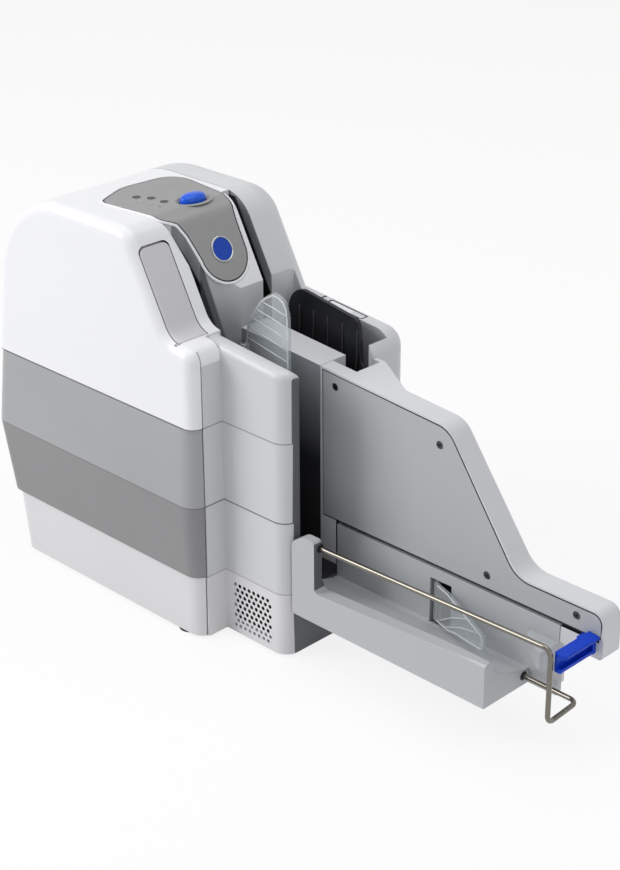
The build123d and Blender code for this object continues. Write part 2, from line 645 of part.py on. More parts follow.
def panel_board():
    """Small circuit board under the panel, with the button's switch, on two posts."""
    board = block(PANEL_BOARD_X, PANEL_BOARD_Y, (BOARD_TOP_Z - BOARD_THICK, BOARD_TOP_Z))
    half = SWITCH_SIZE / 2
    board += block((BUTTON_X - half, BUTTON_X + half), (BUTTON_Y - half, BUTTON_Y + half),
                   (BOARD_TOP_Z, BOARD_TOP_Z + SWITCH_HEIGHT))
    for x, y in BOARD_POSTS:
        board += post(x, y, (BOARD_TOP_Z, HUMP_TOP_Z - COVER_WALL), BOARD_POST_RADIUS)
    return board


def panel_marks():
    """Small lens windows of the status lights, let into the panel's top."""
    top = HUMP_TOP_Z + PANEL_SKIN - PANEL_SINK
    return [post(x, y, (top - MARK_DEPTH, top + MARK_PROUD), MARK_RADIUS) for x, y in LIGHT_PLACES]


def badge():
    """Plain round disc on the lower end of the panel."""
    at = slope_plane()
    lift = PANEL_SKIN - PANEL_SINK
    disc = Pos(BADGE_RUN, 0, lift - MARK_DEPTH) * Cylinder(
        BADGE_RADIUS, MARK_DEPTH + MARK_PROUD, align=(Align.CENTER, Align.CENTER, Align.MIN))
    return at.location * disc


# ---------------------------------------------------------------------------
# Document track, island and hopper
# ---------------------------------------------------------------------------
TRACK_MID_Y = (LEFT_SLOT_Y[0] + RIGHT_SLOT_Y[1]) / 2
OUTER_TURN_RADIUS = (RIGHT_SLOT_Y[1] - LEFT_SLOT_Y[0]) / 2
INNER_TURN_RADIUS = (RIGHT_SLOT_Y[0] - LEFT_SLOT_Y[1]) / 2
GUIDE_OUT_Y = (LEFT_SLOT_Y[0] - GUIDE_WALL, RIGHT_SLOT_Y[1] + GUIDE_WALL)
DECK_Z = (104.0, 107.0)      # bearing deck over the rollers
ISLAND_WALL = 2.5
WINDOW_Z = (ROLLER_Z[0] - 1.5, ROLLER_Z[1] + 1.5)
NIP_GAP = 0.3
LEFT_NIP_Y = (LEFT_SLOT_Y[0] + LEFT_SLOT_Y[1]) / 2
RIGHT_NIP_Y = (RIGHT_SLOT_Y[0] + RIGHT_SLOT_Y[1]) / 2
LEFT_DRIVE_Y = LEFT_NIP_Y + NIP_GAP / 2 + ROLLER_RADIUS
RIGHT_DRIVE_Y = RIGHT_NIP_Y - NIP_GAP / 2 - ROLLER_RADIUS
LEFT_PINCH_Y = LEFT_NIP_Y - NIP_GAP / 2 - PINCH_RADIUS
RIGHT_PINCH_Y = RIGHT_NIP_Y + NIP_GAP / 2 + PINCH_RADIUS
TURN_ROLLER_X = -100.0
EXIT_ROLLER_X = -45.0
FEED_ROLLER_X = -50.0
PICK_ROLLER_X = -8.0
DRIVE_ROLLERS = {
    "turn_roller": (TURN_ROLLER_X, RIGHT_DRIVE_Y),
    "print_roller": (TURN_ROLLER_X, LEFT_DRIVE_Y),
    "exit_roller": (EXIT_ROLLER_X, LEFT_DRIVE_Y),
    "feed_roller": (FEED_ROLLER_X, RIGHT_DRIVE_Y),
    "pick_roller": (PICK_ROLLER_X, RIGHT_DRIVE_Y),
}
PINCH_ROLLERS = {
    "turn_pinch": (TURN_ROLLER_X, RIGHT_PINCH_Y),
    "print_pinch": (TURN_ROLLER_X, LEFT_PINCH_Y),
    "exit_pinch": (EXIT_ROLLER_X, LEFT_PINCH_Y),
}
MOTOR_X = -136.0
MOTOR_RADIUS = 17.0
MOTOR_Z = (BASE_FLOOR, 24.0)
BELT_THICK = 1.2
BELT_HEIGHT = 5.0
SENSOR_X = (-80.0, -66.0)
SENSOR_Z = (50.0, 124.0)
SENSOR_DEPTH = 10.0
HEAD_X = (-82.0, -72.0)
HEAD_Z = (46.5, 62.0)
HEAD_DEPTH = 11.0
WINDOW_EASE = 1.0            # room between a roller and its window in the wall
RECESS_ROUND = 3.0           # inner corner of the hopper's recess


def shaft_holes(z):
    """Bores for every driven shaft between two heights."""
    return [post(x, y, z, SHAFT_RADIUS + RUN_FIT) for x, y in DRIVE_ROLLERS.values()]


def track_floor():
    """Black deck that the documents run on, carried by the base posts."""
    low = TRACK_FLOOR_Z - TRACK_FLOOR_THICK
    z = (low, TRACK_FLOOR_Z)
    deck = block((TURN_X, ISLAND_NOSE_X), (GUIDE_OUT_Y[0], GUIDE_OUT_Y[1]), z)
    deck += post(TURN_X, TRACK_MID_Y, z, OUTER_TURN_RADIUS + GUIDE_WALL)
    deck += block((ISLAND_NOSE_X, ARM_FRONT_X), (LEFT_SLOT_Y[0], ISLAND_RIGHT_Y), z)
    deck += block((ISLAND_NOSE_X, ARM_FRONT_X - SHELL_WALL - SEAM_GAP),
                  (ISLAND_RIGHT_Y, ARM_INNER_Y + GUIDE_WALL), z)
    deck += block((HOPPER_BACK_X - GUIDE_WALL, ISLAND_NOSE_X),
                  (GUIDE_OUT_Y[1], ARM_INNER_Y + GUIDE_WALL), z)
    deck += block((ARM_FRONT_X - SHELL_WALL, ARM_FRONT_X), (LEFT_SLOT_Y[0], ISLAND_LEFT_Y),
                  (BASE_TOP_Z, low))
    deck -= block((ISLAND_END_X, ARM_FRONT_X + JUST), (ISLAND_LEFT_Y, HOPPER_CORNER_Y), ALL_Z)
    for hole in shaft_holes(ALL_Z):
        deck -= hole
    return deck


def roller_window(x, radius, y):
    """Opening in a guide wall that a roller reaches through."""
    return block((x - radius, x + radius), y, WINDOW_Z)


def outer_guide():
    """U-shaped outer wall of the track, with lugs for the pinch rollers."""
    z = (TRACK_FLOOR_Z, GUIDE_TOP_Z)
    outer = post(TURN_X, TRACK_MID_Y, z, OUTER_TURN_RADIUS + GUIDE_WALL)
    outer += block((TURN_X, MID_BACK_X - SEAM_GAP), GUIDE_OUT_Y, z)
    wall = outer - post(TURN_X, TRACK_MID_Y, z, OUTER_TURN_RADIUS)
    wall -= block((TURN_X, 0), (LEFT_SLOT_Y[0], RIGHT_SLOT_Y[1]), z)
    wall -= block((HOPPER_BACK_X - GUIDE_WALL - SEAM_GAP, 0), (MIDDLE_Y, BODY_WIDTH), z)
    for x, y in PINCH_ROLLERS.values():
        side = -1 if y < MIDDLE_Y else 1
        face = LEFT_SLOT_Y[0] if side < 0 else RIGHT_SLOT_Y[1]
        reach = sorted((face + side * SEAM_GAP, y + side * (SHAFT_RADIUS + LUG_WALL)))
        for lug_z in ((WINDOW_Z[0] - LUG_HEIGHT, WINDOW_Z[0]), (WINDOW_Z[1], WINDOW_Z[1] + LUG_HEIGHT)):
            wall += block((x - LUG_WIDTH / 2, x + LUG_WIDTH / 2), reach, lug_z)
            wall -= post(x, y, lug_z, SHAFT_RADIUS + RUN_FIT)
        window_y = sorted((face - side * JUST, face + side * (GUIDE_WALL + JUST)))
        wall -= roller_window(x, PINCH_RADIUS + WINDOW_EASE, window_y)
    gap = SEAM_GAP / 2
    left_y = (GUIDE_OUT_Y[0] - JUST, LEFT_SLOT_Y[0] + JUST)
    right_y = (RIGHT_SLOT_Y[1] - JUST, GUIDE_OUT_Y[1] + JUST)
    wall -= block((SENSOR_X[0] - gap, SENSOR_X[1] + gap), left_y, (SENSOR_Z[0] - gap, SENSOR_Z[1] + gap))
    wall -= block((HEAD_X[0] - gap, HEAD_X[1] + gap), right_y, (HEAD_Z[0] - gap, HEAD_Z[1] + gap))
    return wall - block((FEED_ROLLER_X - PAD_WIDTH / 2 - gap, FEED_ROLLER_X + PAD_WIDTH / 2 + gap),
                        right_y, WINDOW_Z)


def inner_guide_plan(wall):
    """Plan of the inner guide: half round at the turn, flared out to the island."""
    near = LEFT_SLOT_Y[1] + wall
    far = RIGHT_SLOT_Y[0] - wall
    nose = ISLAND_NOSE_X - SEAM_GAP - wall
    straight = outline([(TURN_X, near), (TONGUE_BEND_X, near), (nose, ISLAND_LEFT_Y + wall),
                        (nose, far), (TURN_X, far)])
    return straight + Pos(TURN_X, TRACK_MID_Y) * Circle(INNER_TURN_RADIUS - wall)


def inner_guide():
    """Hollow inner wall of the track, with a bearing deck for the drive shafts."""
    wall = slab_xy(inner_guide_plan(0), TRACK_FLOOR_Z, GUIDE_TOP_Z)
    wall -= slab_xy(inner_guide_plan(GUIDE_WALL), TRACK_FLOOR_Z, DECK_Z[0])
    wall -= slab_xy(inner_guide_plan(GUIDE_WALL), DECK_Z[1], GUIDE_TOP_Z)
    for x, y in DRIVE_ROLLERS.values():
        out_y = (LEFT_SLOT_Y[1] - JUST, y) if y < MIDDLE_Y else (y, RIGHT_SLOT_Y[0] + JUST)
        if x < ISLAND_NOSE_X:
            wall -= roller_window(x, ROLLER_RADIUS + WINDOW_EASE, out_y)
    for hole in shaft_holes(DECK_Z):
        wall -= hole
    gap = SEAM_GAP / 2
    return wall - block((SENSOR_X[0] - gap, SENSOR_X[1] + gap),
                        (LEFT_SLOT_Y[1] - JUST, LEFT_SLOT_Y[1] + SENSOR_DEPTH + gap),
                        (SENSOR_Z[0] - gap, SENSOR_Z[1] + gap))


def island_block():
    """Hollow block between hopper and exit pocket, with lugs for the exit flag."""
    front = ISLAND_END_X
    side = [(ISLAND_NOSE_X, TRACK_FLOOR_Z), (ISLAND_NOSE_X, panel_top(ISLAND_NOSE_X)),
            (front, panel_top(front)), (front, TRACK_FLOOR_Z)]
    body = slab_xz(outline(side), ISLAND_LEFT_Y, ISLAND_RIGHT_Y)
    wall = ISLAND_WALL
    hollow = [(ISLAND_NOSE_X + wall, TRACK_FLOOR_Z),
              (ISLAND_NOSE_X + wall, panel_top(ISLAND_NOSE_X) - wall),
              (front - wall, panel_top(front) - wall), (front - wall, TRACK_FLOOR_Z)]
    body -= slab_xz(outline(hollow), ISLAND_LEFT_Y + wall, ISLAND_RIGHT_Y - wall)
    deck = block((ISLAND_NOSE_X, front), (ISLAND_LEFT_Y, ISLAND_RIGHT_Y), DECK_Z)
    body += deck
    body -= post(PICK_ROLLER_X, RIGHT_DRIVE_Y, DECK_Z, SHAFT_RADIUS + RUN_FIT)
    body -= roller_window(PICK_ROLLER_X, ROLLER_RADIUS + WINDOW_EASE,
                          (RIGHT_DRIVE_Y, ISLAND_RIGHT_Y + JUST))
    for lug_z in FLAG_LUGS:
        lug = Pos(FLAG_X, FLAG_Y) * Circle(FLAG_KNUCKLE)
        lug += Pos(FLAG_X, (FLAG_Y + ISLAND_LEFT_Y) / 2) * Rectangle(2 * FLAG_KNUCKLE,
                                                                   ISLAND_LEFT_Y - FLAG_Y)
        body += slab_xy(lug, *lug_z)
        body -= post(FLAG_X, FLAG_Y, lug_z, FLAG_PIN + RUN_FIT)
    return body


def hopper_walls():
    """Back and far wall of the hopper recess below the cover."""
    back = HOPPER_BACK_X
    front = ARM_FRONT_X - SHELL_WALL - SEAM_GAP
    plan = outline([(back - GUIDE_WALL, RIGHT_SLOT_Y[1]), (back, RIGHT_SLOT_Y[1]),
                    (back, ARM_INNER_Y, RECESS_ROUND), (front, ARM_INNER_Y),
                    (front, ARM_INNER_Y + GUIDE_WALL),
                    (back - GUIDE_WALL, ARM_INNER_Y + GUIDE_WALL, RECESS_ROUND + GUIDE_WALL)])
    return slab_xy(plan, TRACK_FLOOR_Z, SEAM_Z - SEAM_GAP)


# ---------------------------------------------------------------------------
# Paddle and flags
# ---------------------------------------------------------------------------
PADDLE_X = 50.5
PADDLE_Y = 87.0
PADDLE_LENGTH = 75.0
PADDLE_REST = math.degrees(math.atan2(8.5, 74.5))
PADDLE_THICK = 2.4
PADDLE_BOTTOM_Z = 47.0
PADDLE_TOP_Z = 184.0
PADDLE_PIN = 1.5
PADDLE_PIN_Z = (54.0, 143.0)
PADDLE_KNUCKLE = 3.2
PADDLE_KNUCKLE_TOP_Z = 150.0
PADDLE_LUGS = ((56.0, 61.0), (136.0, 141.0))
PADDLE_SLOTS = tuple((low - MOVE_GAP, high + MOVE_GAP) for low, high in PADDLE_LUGS)
PADDLE_SHOULDER = ((-15.0, 180.0, 6.0), (-9.0, 158.0, 3.0), (0.0, 151.0))
PADDLE_FAR_ROUND = 12.0
PADDLE_LEAN_Z = 150.0
PADDLE_LEAN = 5.0            # how far the top of the paddle leans away
RIB_START = 6.4
RIB_PITCH = 8.0
RIB_WIDTH = 2.0
RIB_PROUD = 0.8
FLAG_X = -22.0
FLAG_Y = 60.0
FLAG_PIN = 1.0
FLAG_KNUCKLE = 2.0
FLAG_THICK = 1.6
FLAG_LENGTH = 57.0
FLAG_ANGLE = -math.degrees(math.atan2(14.0, 44.0))
FLAG_LUGS = ((120.0, 123.6), (155.0, 159.0))
FLAG_ARCH = ((6.4, 173.0, 12.0), (24.0, 194.0, 40.0), (40.0, 204.0, 14.0), (FLAG_LENGTH - 3.5, 203.0, 6.0),
             (FLAG_LENGTH, 195.0, 8.0))
FLAG_FOOT_ROUND = 6.0
EXIT_PIN_Z = (119.0, 160.0)
TRAY_FLAG_X = 122.0
TRAY_FLAG_Y = 64.2
TRAY_FLAG_LENGTH = 50.5
TRAY_FLAG_ANGLE = -math.degrees(math.atan2(15.8, 48.0))
TRAY_FLAG_Z = (38.5, 61.5)
TRAY_FLAG_NECK = 14.0        # how far the flag keeps its full height from the hinge
TRAY_FLAG_BEND = (24.0, 41.0)
TRAY_FLAG_TIP_Z = (45.0, 54.0)
TIP_ROUND = 3.0
WINDOW_X = (TRAY_FLAG_X - 3.6, TRAY_FLAG_X + 11.4)
WINDOW_TRAY_Z = (TRAY_FLAG_Z[0] - 3.2, TRAY_FLAG_Z[1] + 2.0)


def upright_plate(face, thick):
    """Side-view face turned into a plate of even thickness about y = 0."""
    return slab_xz(face, -thick / 2, thick / 2)


def paddle():
    """Ribbed pusher plate, built along -X from its pivot and turned to its rest."""
    far = -PADDLE_LENGTH
    face = outline([(0, PADDLE_BOTTOM_Z), (far, PADDLE_BOTTOM_Z),
                    (far, PADDLE_TOP_Z, PADDLE_FAR_ROUND), *PADDLE_SHOULDER])
    plate = upright_plate(face, PADDLE_THICK)
    lean = outline([(-PADDLE_THICK / 2, PADDLE_BOTTOM_Z), (-PADDLE_THICK / 2, PADDLE_LEAN_Z),
                    (PADDLE_LEAN - PADDLE_THICK / 2, PADDLE_TOP_Z),
                    (PADDLE_LEAN + PADDLE_THICK / 2, PADDLE_TOP_Z),
                    (PADDLE_THICK / 2, PADDLE_LEAN_Z), (PADDLE_THICK / 2, PADDLE_BOTTOM_Z)])
    deep = PADDLE_LEAN + PADDLE_THICK
    plate = slab_xz(face, -deep, deep) & slab_yz(lean, far, 0)
    plate += post(0, 0, (PADDLE_BOTTOM_Z, PADDLE_KNUCKLE_TOP_Z), PADDLE_KNUCKLE)
    for i in range(int(PADDLE_LENGTH // RIB_PITCH) - 1):
        x = far + RIB_START + RIB_PITCH * i
        plate += block((x, x + RIB_WIDTH), (-PADDLE_THICK / 2 - RIB_PROUD, 0),
                       (PADDLE_BOTTOM_Z, PADDLE_LEAN_Z))
    for z in PADDLE_SLOTS:
        plate -= block((-PADDLE_KNUCKLE - MOVE_GAP, BEYOND), (-BEYOND, BEYOND), z)
    plate -= post(0, 0, (PADDLE_BOTTOM_Z, PADDLE_TOP_Z), PADDLE_PIN + RUN_FIT)
    return Pos(PADDLE_X, PADDLE_Y) * Rot(0, 0, -PADDLE_REST) * plate


def flag(face, offset, knuckle_z, place, angle):
    """Clear flag set off sideways from its hinge knuckle, turned to its rest angle."""
    plate = Pos(0, offset, 0) * upright_plate(face, FLAG_THICK)
    plate += post(0, 0, knuckle_z, FLAG_KNUCKLE)
    plate -= post(0, 0, ALL_Z, FLAG_PIN + RUN_FIT)
    return Pos(*place) * Rot(0, 0, angle) * plate


def exit_flag():
    """Arched clear flag that guides leaving documents against the outer wall."""
    foot = FLAG_LUGS[0][1] + MOVE_GAP
    head = FLAG_LUGS[1][0] - MOVE_GAP
    face = outline([(0, foot), (0, head), (2 * FLAG_KNUCKLE, head), *FLAG_ARCH,
                    (FLAG_LENGTH, foot, FLAG_FOOT_ROUND)])
    return flag(face, 0, (foot, head), (FLAG_X, FLAG_Y), FLAG_ANGLE)


def tray_flag():
    """Low clear flag that swings out over the tray floor."""
    low, high = TRAY_FLAG_Z
    tip_low, tip_high = TRAY_FLAG_TIP_Z
    face = outline([(0, low), (0, high), (TRAY_FLAG_NECK, high),
                    (TRAY_FLAG_LENGTH, tip_high, TIP_ROUND), (TRAY_FLAG_LENGTH, tip_low, TIP_ROUND),
                    TRAY_FLAG_BEND, (TRAY_FLAG_NECK, low)])
    offset = FLAG_THICK / 2 - FLAG_KNUCKLE
    return flag(face, offset, TRAY_FLAG_Z, (TRAY_FLAG_X, TRAY_FLAG_Y), TRAY_FLAG_ANGLE)


# ---------------------------------------------------------------------------
# Extension, tray, wire guide and end stop
# ---------------------------------------------------------------------------
EXTENSION_Y = (ISLAND_LEFT_Y, ISLAND_LEFT_Y + PANEL_THICK)
SHELL_START_X = ISLAND_END_X + SEAM_GAP
INSERT_THICK = 2.5
INSERT_RIM = 1.4             # width of the shell's rim around the insert
INSERT_START_X = SHELL_START_X + INSERT_RIM
LOW_SCREW_BACK = 20.9        # last two screws, back from the bend and from the end
END_SCREW_BACK = 17.2
SCREWS = ((46.9, 153.0), (122.5, 143.6), (PANEL_LOW_X - LOW_SCREW_BACK, 79.8),
          (PANEL_END_X - END_SCREW_BACK, 80.0))
SCREW_RADIUS = 1.3
SCREW_HEAD = 2.3
SCREW_LENGTH = 9.0
SCREW_SINK = 1.2
SCREW_RECESS = 0.2
BOSS_RADIUS = 3.6
HIGH_ROUND = 14.0            # roundings of the extension's outline
LOW_ROUND = 18.0
END_ROUND = 7.0
TAIL_ROUND = 2.0
POCKET_X = (ISLAND_END_X, 54.0)      # corner pocket that the paddle pivots in
POCKET_Y = (72.0, HOPPER_CORNER_Y)
WEDGE_END_X = 86.0
WEDGE_BACK_X = 56.0
WEDGE_FAR_Y = 93.0
LOWER_SHORT = 27.0           # how far the lower plate ends before the extension
LOWER_END_X = PANEL_END_X - LOWER_SHORT
LOWER_THICK = 3.7
FOOT_SHORT = 33.0            # how far the extension's foot ends before its top
PANEL_FOOT_X = PANEL_END_X - FOOT_SHORT
STOP_FROM_END = 2.0          # front of the stop, back from the extension's end
STOP_WIDTH = 7.0
STOP_X = (PANEL_END_X - STOP_FROM_END - STOP_WIDTH, PANEL_END_X - STOP_FROM_END)
STOP_Y = (34.0, ISLAND_LEFT_Y - SEAM_GAP)
STOP_Z = (64.0, 75.0)
STOP_WALL = 2.2
STOP_SLOPE = 0.8             # how much lower the bracket's top is at its far end
STOP_STEP = 2.0              # how much shorter the bracket's foot is than its top
STOP_ROUNDS = (0.6, 1.5, 3.0)        # edges, near corner and far corner
GROOVE_PLAY = 0.3
SHOE_Y = (ISLAND_LEFT_Y + LOWER_THICK + SEAM_GAP, 71.0)
SHOE_Z = (66.5, 75.2)
STOP_TAB = 3.5               # how far the tab at the wall stands back from the bracket
STOP_TAB_DEPTH = 5.0
SHOE_BACK = 8.0              # how far the shoe reaches back behind the bracket
TRAY_START_X = ARM_FRONT_X + SEAM_GAP
UPRIGHT_X = (TRAY_START_X, 66.0)
UPRIGHT_TOP_Z = 78.5
UPRIGHT_Y = (TRAY_OUTER_Y, 33.5)
UPRIGHT_SHOULDER = ((UPRIGHT_X[0], 73.0, 6.0), (57.0, UPRIGHT_TOP_Z, 5.0),
                    (UPRIGHT_X[1], UPRIGHT_TOP_Z, 2.5))
UPRIGHT_ROUND = 2.2
TRAY_NOTCH_Z = 47.0
NOTCH_ROUND = 3.0
NOTCH_DEPTH = 10.0
TRAY_RAIL_Z = 54.0
TRAY_DISH = ((0.0, TRAY_RAIL_Z, 2.5), (6.4, TRAY_RAIL_Z, 3.5), (9.0, 45.0, 5.0), (17.0, 41.6, 12.0))
TRAY_UNDER = ((4.0, 43.4), (6.5, 42.4), (16.5, 38.6))
TRAY_WALL = 2.6
TRAY_FOOT = 3.5              # how far the floor's flat part reaches from the wall
LUG_Z = (50.0, 59.8)
LUG_OUT = ((0.0, 3.0), (16.7, 15.0, 2.0), (18.7, 13.0))      # past the tray, off the wall
FLAG_PIN_Z = (32.0, 66.0)
WIRE_HOLE_DEPTH = 7.0
WIRE_SPARE = 0.5             # how much shorter the wire's ends are than their holes
WIRE_Y = 31.0
WIRE_START_X = UPRIGHT_X[1] - WIRE_HOLE_DEPTH
WIRE_TOP_START_Z = 73.4
WIRE_TOP_END_Z = 77.0
WIRE_END_X = PANEL_END_X - 9.0
WIRE_FOOT_Y = 58.2
WIRE_FOOT_Z = 33.6
WIRE_BEND = 5.0
WIRE_RUN = 8.0               # straight length of wire before it rises
WIRE_SKEW = 0.8              # how far the wire runs out of line with its hole


def extension_corners(start, edge):
    """Side outline of the extension shell; edge insets its outer edges."""
    low = BASE_TOP_Z + SEAM_GAP
    step = TRAY_START_X
    return [(start, low + edge), (start, panel_top(start) - edge),
            (PANEL_HIGH_X, PANEL_HIGH_Z - edge, HIGH_ROUND),
            (PANEL_LOW_X - edge / 2, PANEL_LOW_Z - edge, LOW_ROUND),
            (PANEL_END_X - edge, PANEL_LOW_Z - edge, END_ROUND - edge),
            (PANEL_END_X - edge, PANEL_TAIL_Z + edge, TAIL_ROUND),
            (PANEL_FOOT_X - edge, PANEL_TAIL_Z + edge),
            (PANEL_FOOT_X - edge, TRAY_BOTTOM_Z + edge), (max(start, step) + edge, TRAY_BOTTOM_Z + edge),
            (max(start, step) + edge, low + edge)]


def insert_face(gap):
    """Side outline of the flat insert plate above the groove."""
    edge = INSERT_RIM + gap
    start = INSERT_START_X + gap
    low = GROOVE_Z + GROOVE_HEIGHT
    return outline([(start, low), (start, panel_top(start) - edge),
                    (PANEL_HIGH_X, PANEL_HIGH_Z - edge, HIGH_ROUND),
                    (PANEL_LOW_X - edge, PANEL_LOW_Z - edge, LOW_ROUND),
                    (PANEL_END_X - edge, PANEL_LOW_Z - edge, END_ROUND - edge), (PANEL_END_X - edge, low)])


def extension_shell():
    """Long arm past the body: skin, rim, corner wedge for the paddle and groove."""
    near, far = EXTENSION_Y
    shell = slab_xz(outline(extension_corners(SHELL_START_X, 0)), near, far)
    wedge = outline([(SHELL_START_X, far), (WEDGE_END_X, far), (WEDGE_BACK_X, WEDGE_FAR_Y),
                     (TRAY_START_X, WEDGE_FAR_Y), (TRAY_START_X, HOPPER_CORNER_Y),
                     (SHELL_START_X, HOPPER_CORNER_Y)])
    side = outline([(SHELL_START_X, BASE_TOP_Z + SEAM_GAP), (SHELL_START_X, panel_top(SHELL_START_X)),
                    (WEDGE_END_X, panel_top(WEDGE_END_X)), (WEDGE_END_X, BASE_TOP_Z + SEAM_GAP)])
    shell += slab_xy(wedge, 0, HUMP_TOP_Z) & slab_xz(side, far, WEDGE_FAR_Y)
    shell -= block((0, POCKET_X[1]), POCKET_Y, (0, HUMP_TOP_Z))
    hollow_x = POCKET_X[1] + SHELL_WALL
    hollow = outline(extension_corners(hollow_x, SHELL_WALL))
    shell -= slab_xz(hollow, near - JUST, far - SHELL_WALL)
    wedge_hollow = outline([(POCKET_X[1] + SHELL_WALL, far - SHELL_WALL),
                            (WEDGE_END_X - SHELL_WALL, far - SHELL_WALL),
                            (POCKET_X[1] + SHELL_WALL, WEDGE_FAR_Y - 1.5 * SHELL_WALL)])
    shell -= slab_xy(wedge_hollow, 0, panel_top(WEDGE_END_X) - SHELL_WALL)
    shell -= slab_xz(insert_face(0), near - JUST, near + INSERT_THICK)
    shell -= block((TRAY_START_X - JUST, LOWER_END_X + SEAM_GAP),
                   (near - JUST, near + LOWER_THICK + SEAM_GAP), (0, GROOVE_Z + GROOVE_HEIGHT))
    shell -= block((LOWER_END_X, PANEL_END_X - SHELL_WALL), (near - JUST, SHOE_Y[1] + MOVE_GAP),
                   (GROOVE_Z, GROOVE_Z + GROOVE_HEIGHT))
    tail = (LOWER_END_X + SEAM_GAP, PANEL_END_X - SHELL_WALL / 2)
    shell += block(tail, (near, near + INSERT_THICK), (PANEL_TAIL_Z, GROOVE_Z))
    for x, z in SCREWS:
        if x > hollow_x:
            shell += rod_y(x, (near + INSERT_THICK, far - SHELL_WALL), z, BOSS_RADIUS)
        shell -= rod_y(x, (near, near + SCREW_LENGTH), z, SCREW_RADIUS)
    root_x = POCKET_X[1] + JUST
    for lug_z in PADDLE_LUGS:
        lug = Pos(PADDLE_X, PADDLE_Y) * Circle(PADDLE_KNUCKLE)
        lug += Pos((PADDLE_X + root_x) / 2, PADDLE_Y) * Rectangle(root_x - PADDLE_X, 2 * PADDLE_KNUCKLE)
        shell += slab_xy(lug, *lug_z)
        shell -= post(PADDLE_X, PADDLE_Y, lug_z, PADDLE_PIN + RUN_FIT)
    return shell


def panel_insert():
    """Flat plate that closes the extension towards the tray."""
    near = EXTENSION_Y[0]
    plate = slab_xz(insert_face(SEAM_GAP), near, near + INSERT_THICK - RUN_FIT)
    for x, z in SCREWS:
        plate -= rod_y(x, (near - JUST, near + INSERT_THICK), z, SCREW_RADIUS + RUN_FIT)
        plate -= rod_y(x, (near - JUST, near + SCREW_SINK), z, SCREW_HEAD + RUN_FIT)
    return plate


def panel_screws():
    """Four small screws through the insert into the shell's bosses."""
    near = EXTENSION_Y[0]
    screws = []
    for x, z in SCREWS:
        screw = rod_y(x, (near + SCREW_RECESS, near + SCREW_SINK), z, SCREW_HEAD)
        screw += rod_y(x, (near + SCREW_SINK, near + SCREW_LENGTH - MOVE_GAP), z, SCREW_RADIUS)
        screws.append(screw)
    return screws


def tray_section():
    """End view of the tray: outer rail, dished floor and the plate at the wall."""
    rail = [(TRAY_OUTER_Y + y, z, radius) for y, z, radius in TRAY_DISH]
    wall_y = ISLAND_LEFT_Y
    return outline([(TRAY_OUTER_Y, TRAY_BOTTOM_Z), *rail, (wall_y - TRAY_FOOT, TRAY_FLOOR_Z),
                    (wall_y, TRAY_FLOOR_Z), (wall_y, GROOVE_Z), (wall_y + LOWER_THICK, GROOVE_Z),
                    (wall_y + LOWER_THICK, TRAY_BOTTOM_Z)])


def tray_underside():
    """End view of the hollow under the tray's rail and floor."""
    under = [(TRAY_OUTER_Y + y, z) for y, z in TRAY_UNDER]
    low_y, high_y = TRAY_OUTER_Y + TRAY_WALL, ISLAND_LEFT_Y - TRAY_WALL
    floor_z = TRAY_FLOOR_Z - TRAY_WALL
    return outline([(low_y, 0), (low_y, under[0][1]), *under, (ISLAND_LEFT_Y - TRAY_FOOT, floor_z),
                    (high_y, floor_z), (high_y, 0)])


def tray_upright():
    """Rounded post at the tray's start that the wire comes out of."""
    face = outline([(UPRIGHT_X[0], TRAY_BOTTOM_Z), *UPRIGHT_SHOULDER, (UPRIGHT_X[1], TRAY_BOTTOM_Z)])
    body = slab_xz(face, *UPRIGHT_Y)
    top = [edge for edge in edges_on_side(body, UPRIGHT_Y[1], UPRIGHT_SHOULDER[0][1])
           if edge.bounding_box().size.Z < UPRIGHT_SHOULDER[0][2] + JUST]
    return fillet(top, UPRIGHT_ROUND)


def tray_lug():
    """Wedge between the tray's end and the end of the lower plate."""
    out = [(TRAY_END_X + corner[0], ISLAND_LEFT_Y - corner[1], *corner[2:]) for corner in LUG_OUT]
    root_y = ISLAND_LEFT_Y + JUST
    return slab_xy(outline([(TRAY_END_X, root_y), *out, (LOWER_END_X, root_y)]), *LUG_Z)


def tray():
    """Exit tray: rail, floor, upright post and the lower plate of the extension."""
    wall_y = ISLAND_LEFT_Y
    solid = slab_yz(tray_section(), TRAY_START_X, TRAY_END_X)
    end_x = TRAY_END_X + JUST
    cut = outline([(UPRIGHT_X[1], TRAY_NOTCH_Z, NOTCH_ROUND), (end_x, TRAY_RAIL_Z),
                   (end_x, UPRIGHT_TOP_Z), (UPRIGHT_X[1], UPRIGHT_TOP_Z)])
    solid -= slab_xz(cut, TRAY_OUTER_Y - JUST, TRAY_OUTER_Y + NOTCH_DEPTH)
    solid += tray_upright()
    solid -= slab_yz(tray_underside(), TRAY_START_X + TRAY_WALL, TRAY_END_X - TRAY_WALL)
    solid += block((TRAY_END_X, LOWER_END_X), (wall_y, wall_y + LOWER_THICK), (TRAY_BOTTOM_Z, GROOVE_Z))
    solid += tray_lug()
    solid -= block(WINDOW_X, (wall_y - JUST, wall_y + LOWER_THICK + JUST), WINDOW_TRAY_Z)
    solid -= post(TRAY_FLAG_X, TRAY_FLAG_Y, FLAG_PIN_Z, FLAG_PIN + RUN_FIT)
    fit = WIRE_RADIUS + RUN_FIT
    solid -= rod_x((WIRE_START_X, UPRIGHT_X[1] + JUST), WIRE_Y, WIRE_TOP_START_Z, fit)
    solid -= rod_x((TRAY_END_X - WIRE_HOLE_DEPTH, end_x), WIRE_FOOT_Y, WIRE_FOOT_Z, fit)
    return solid


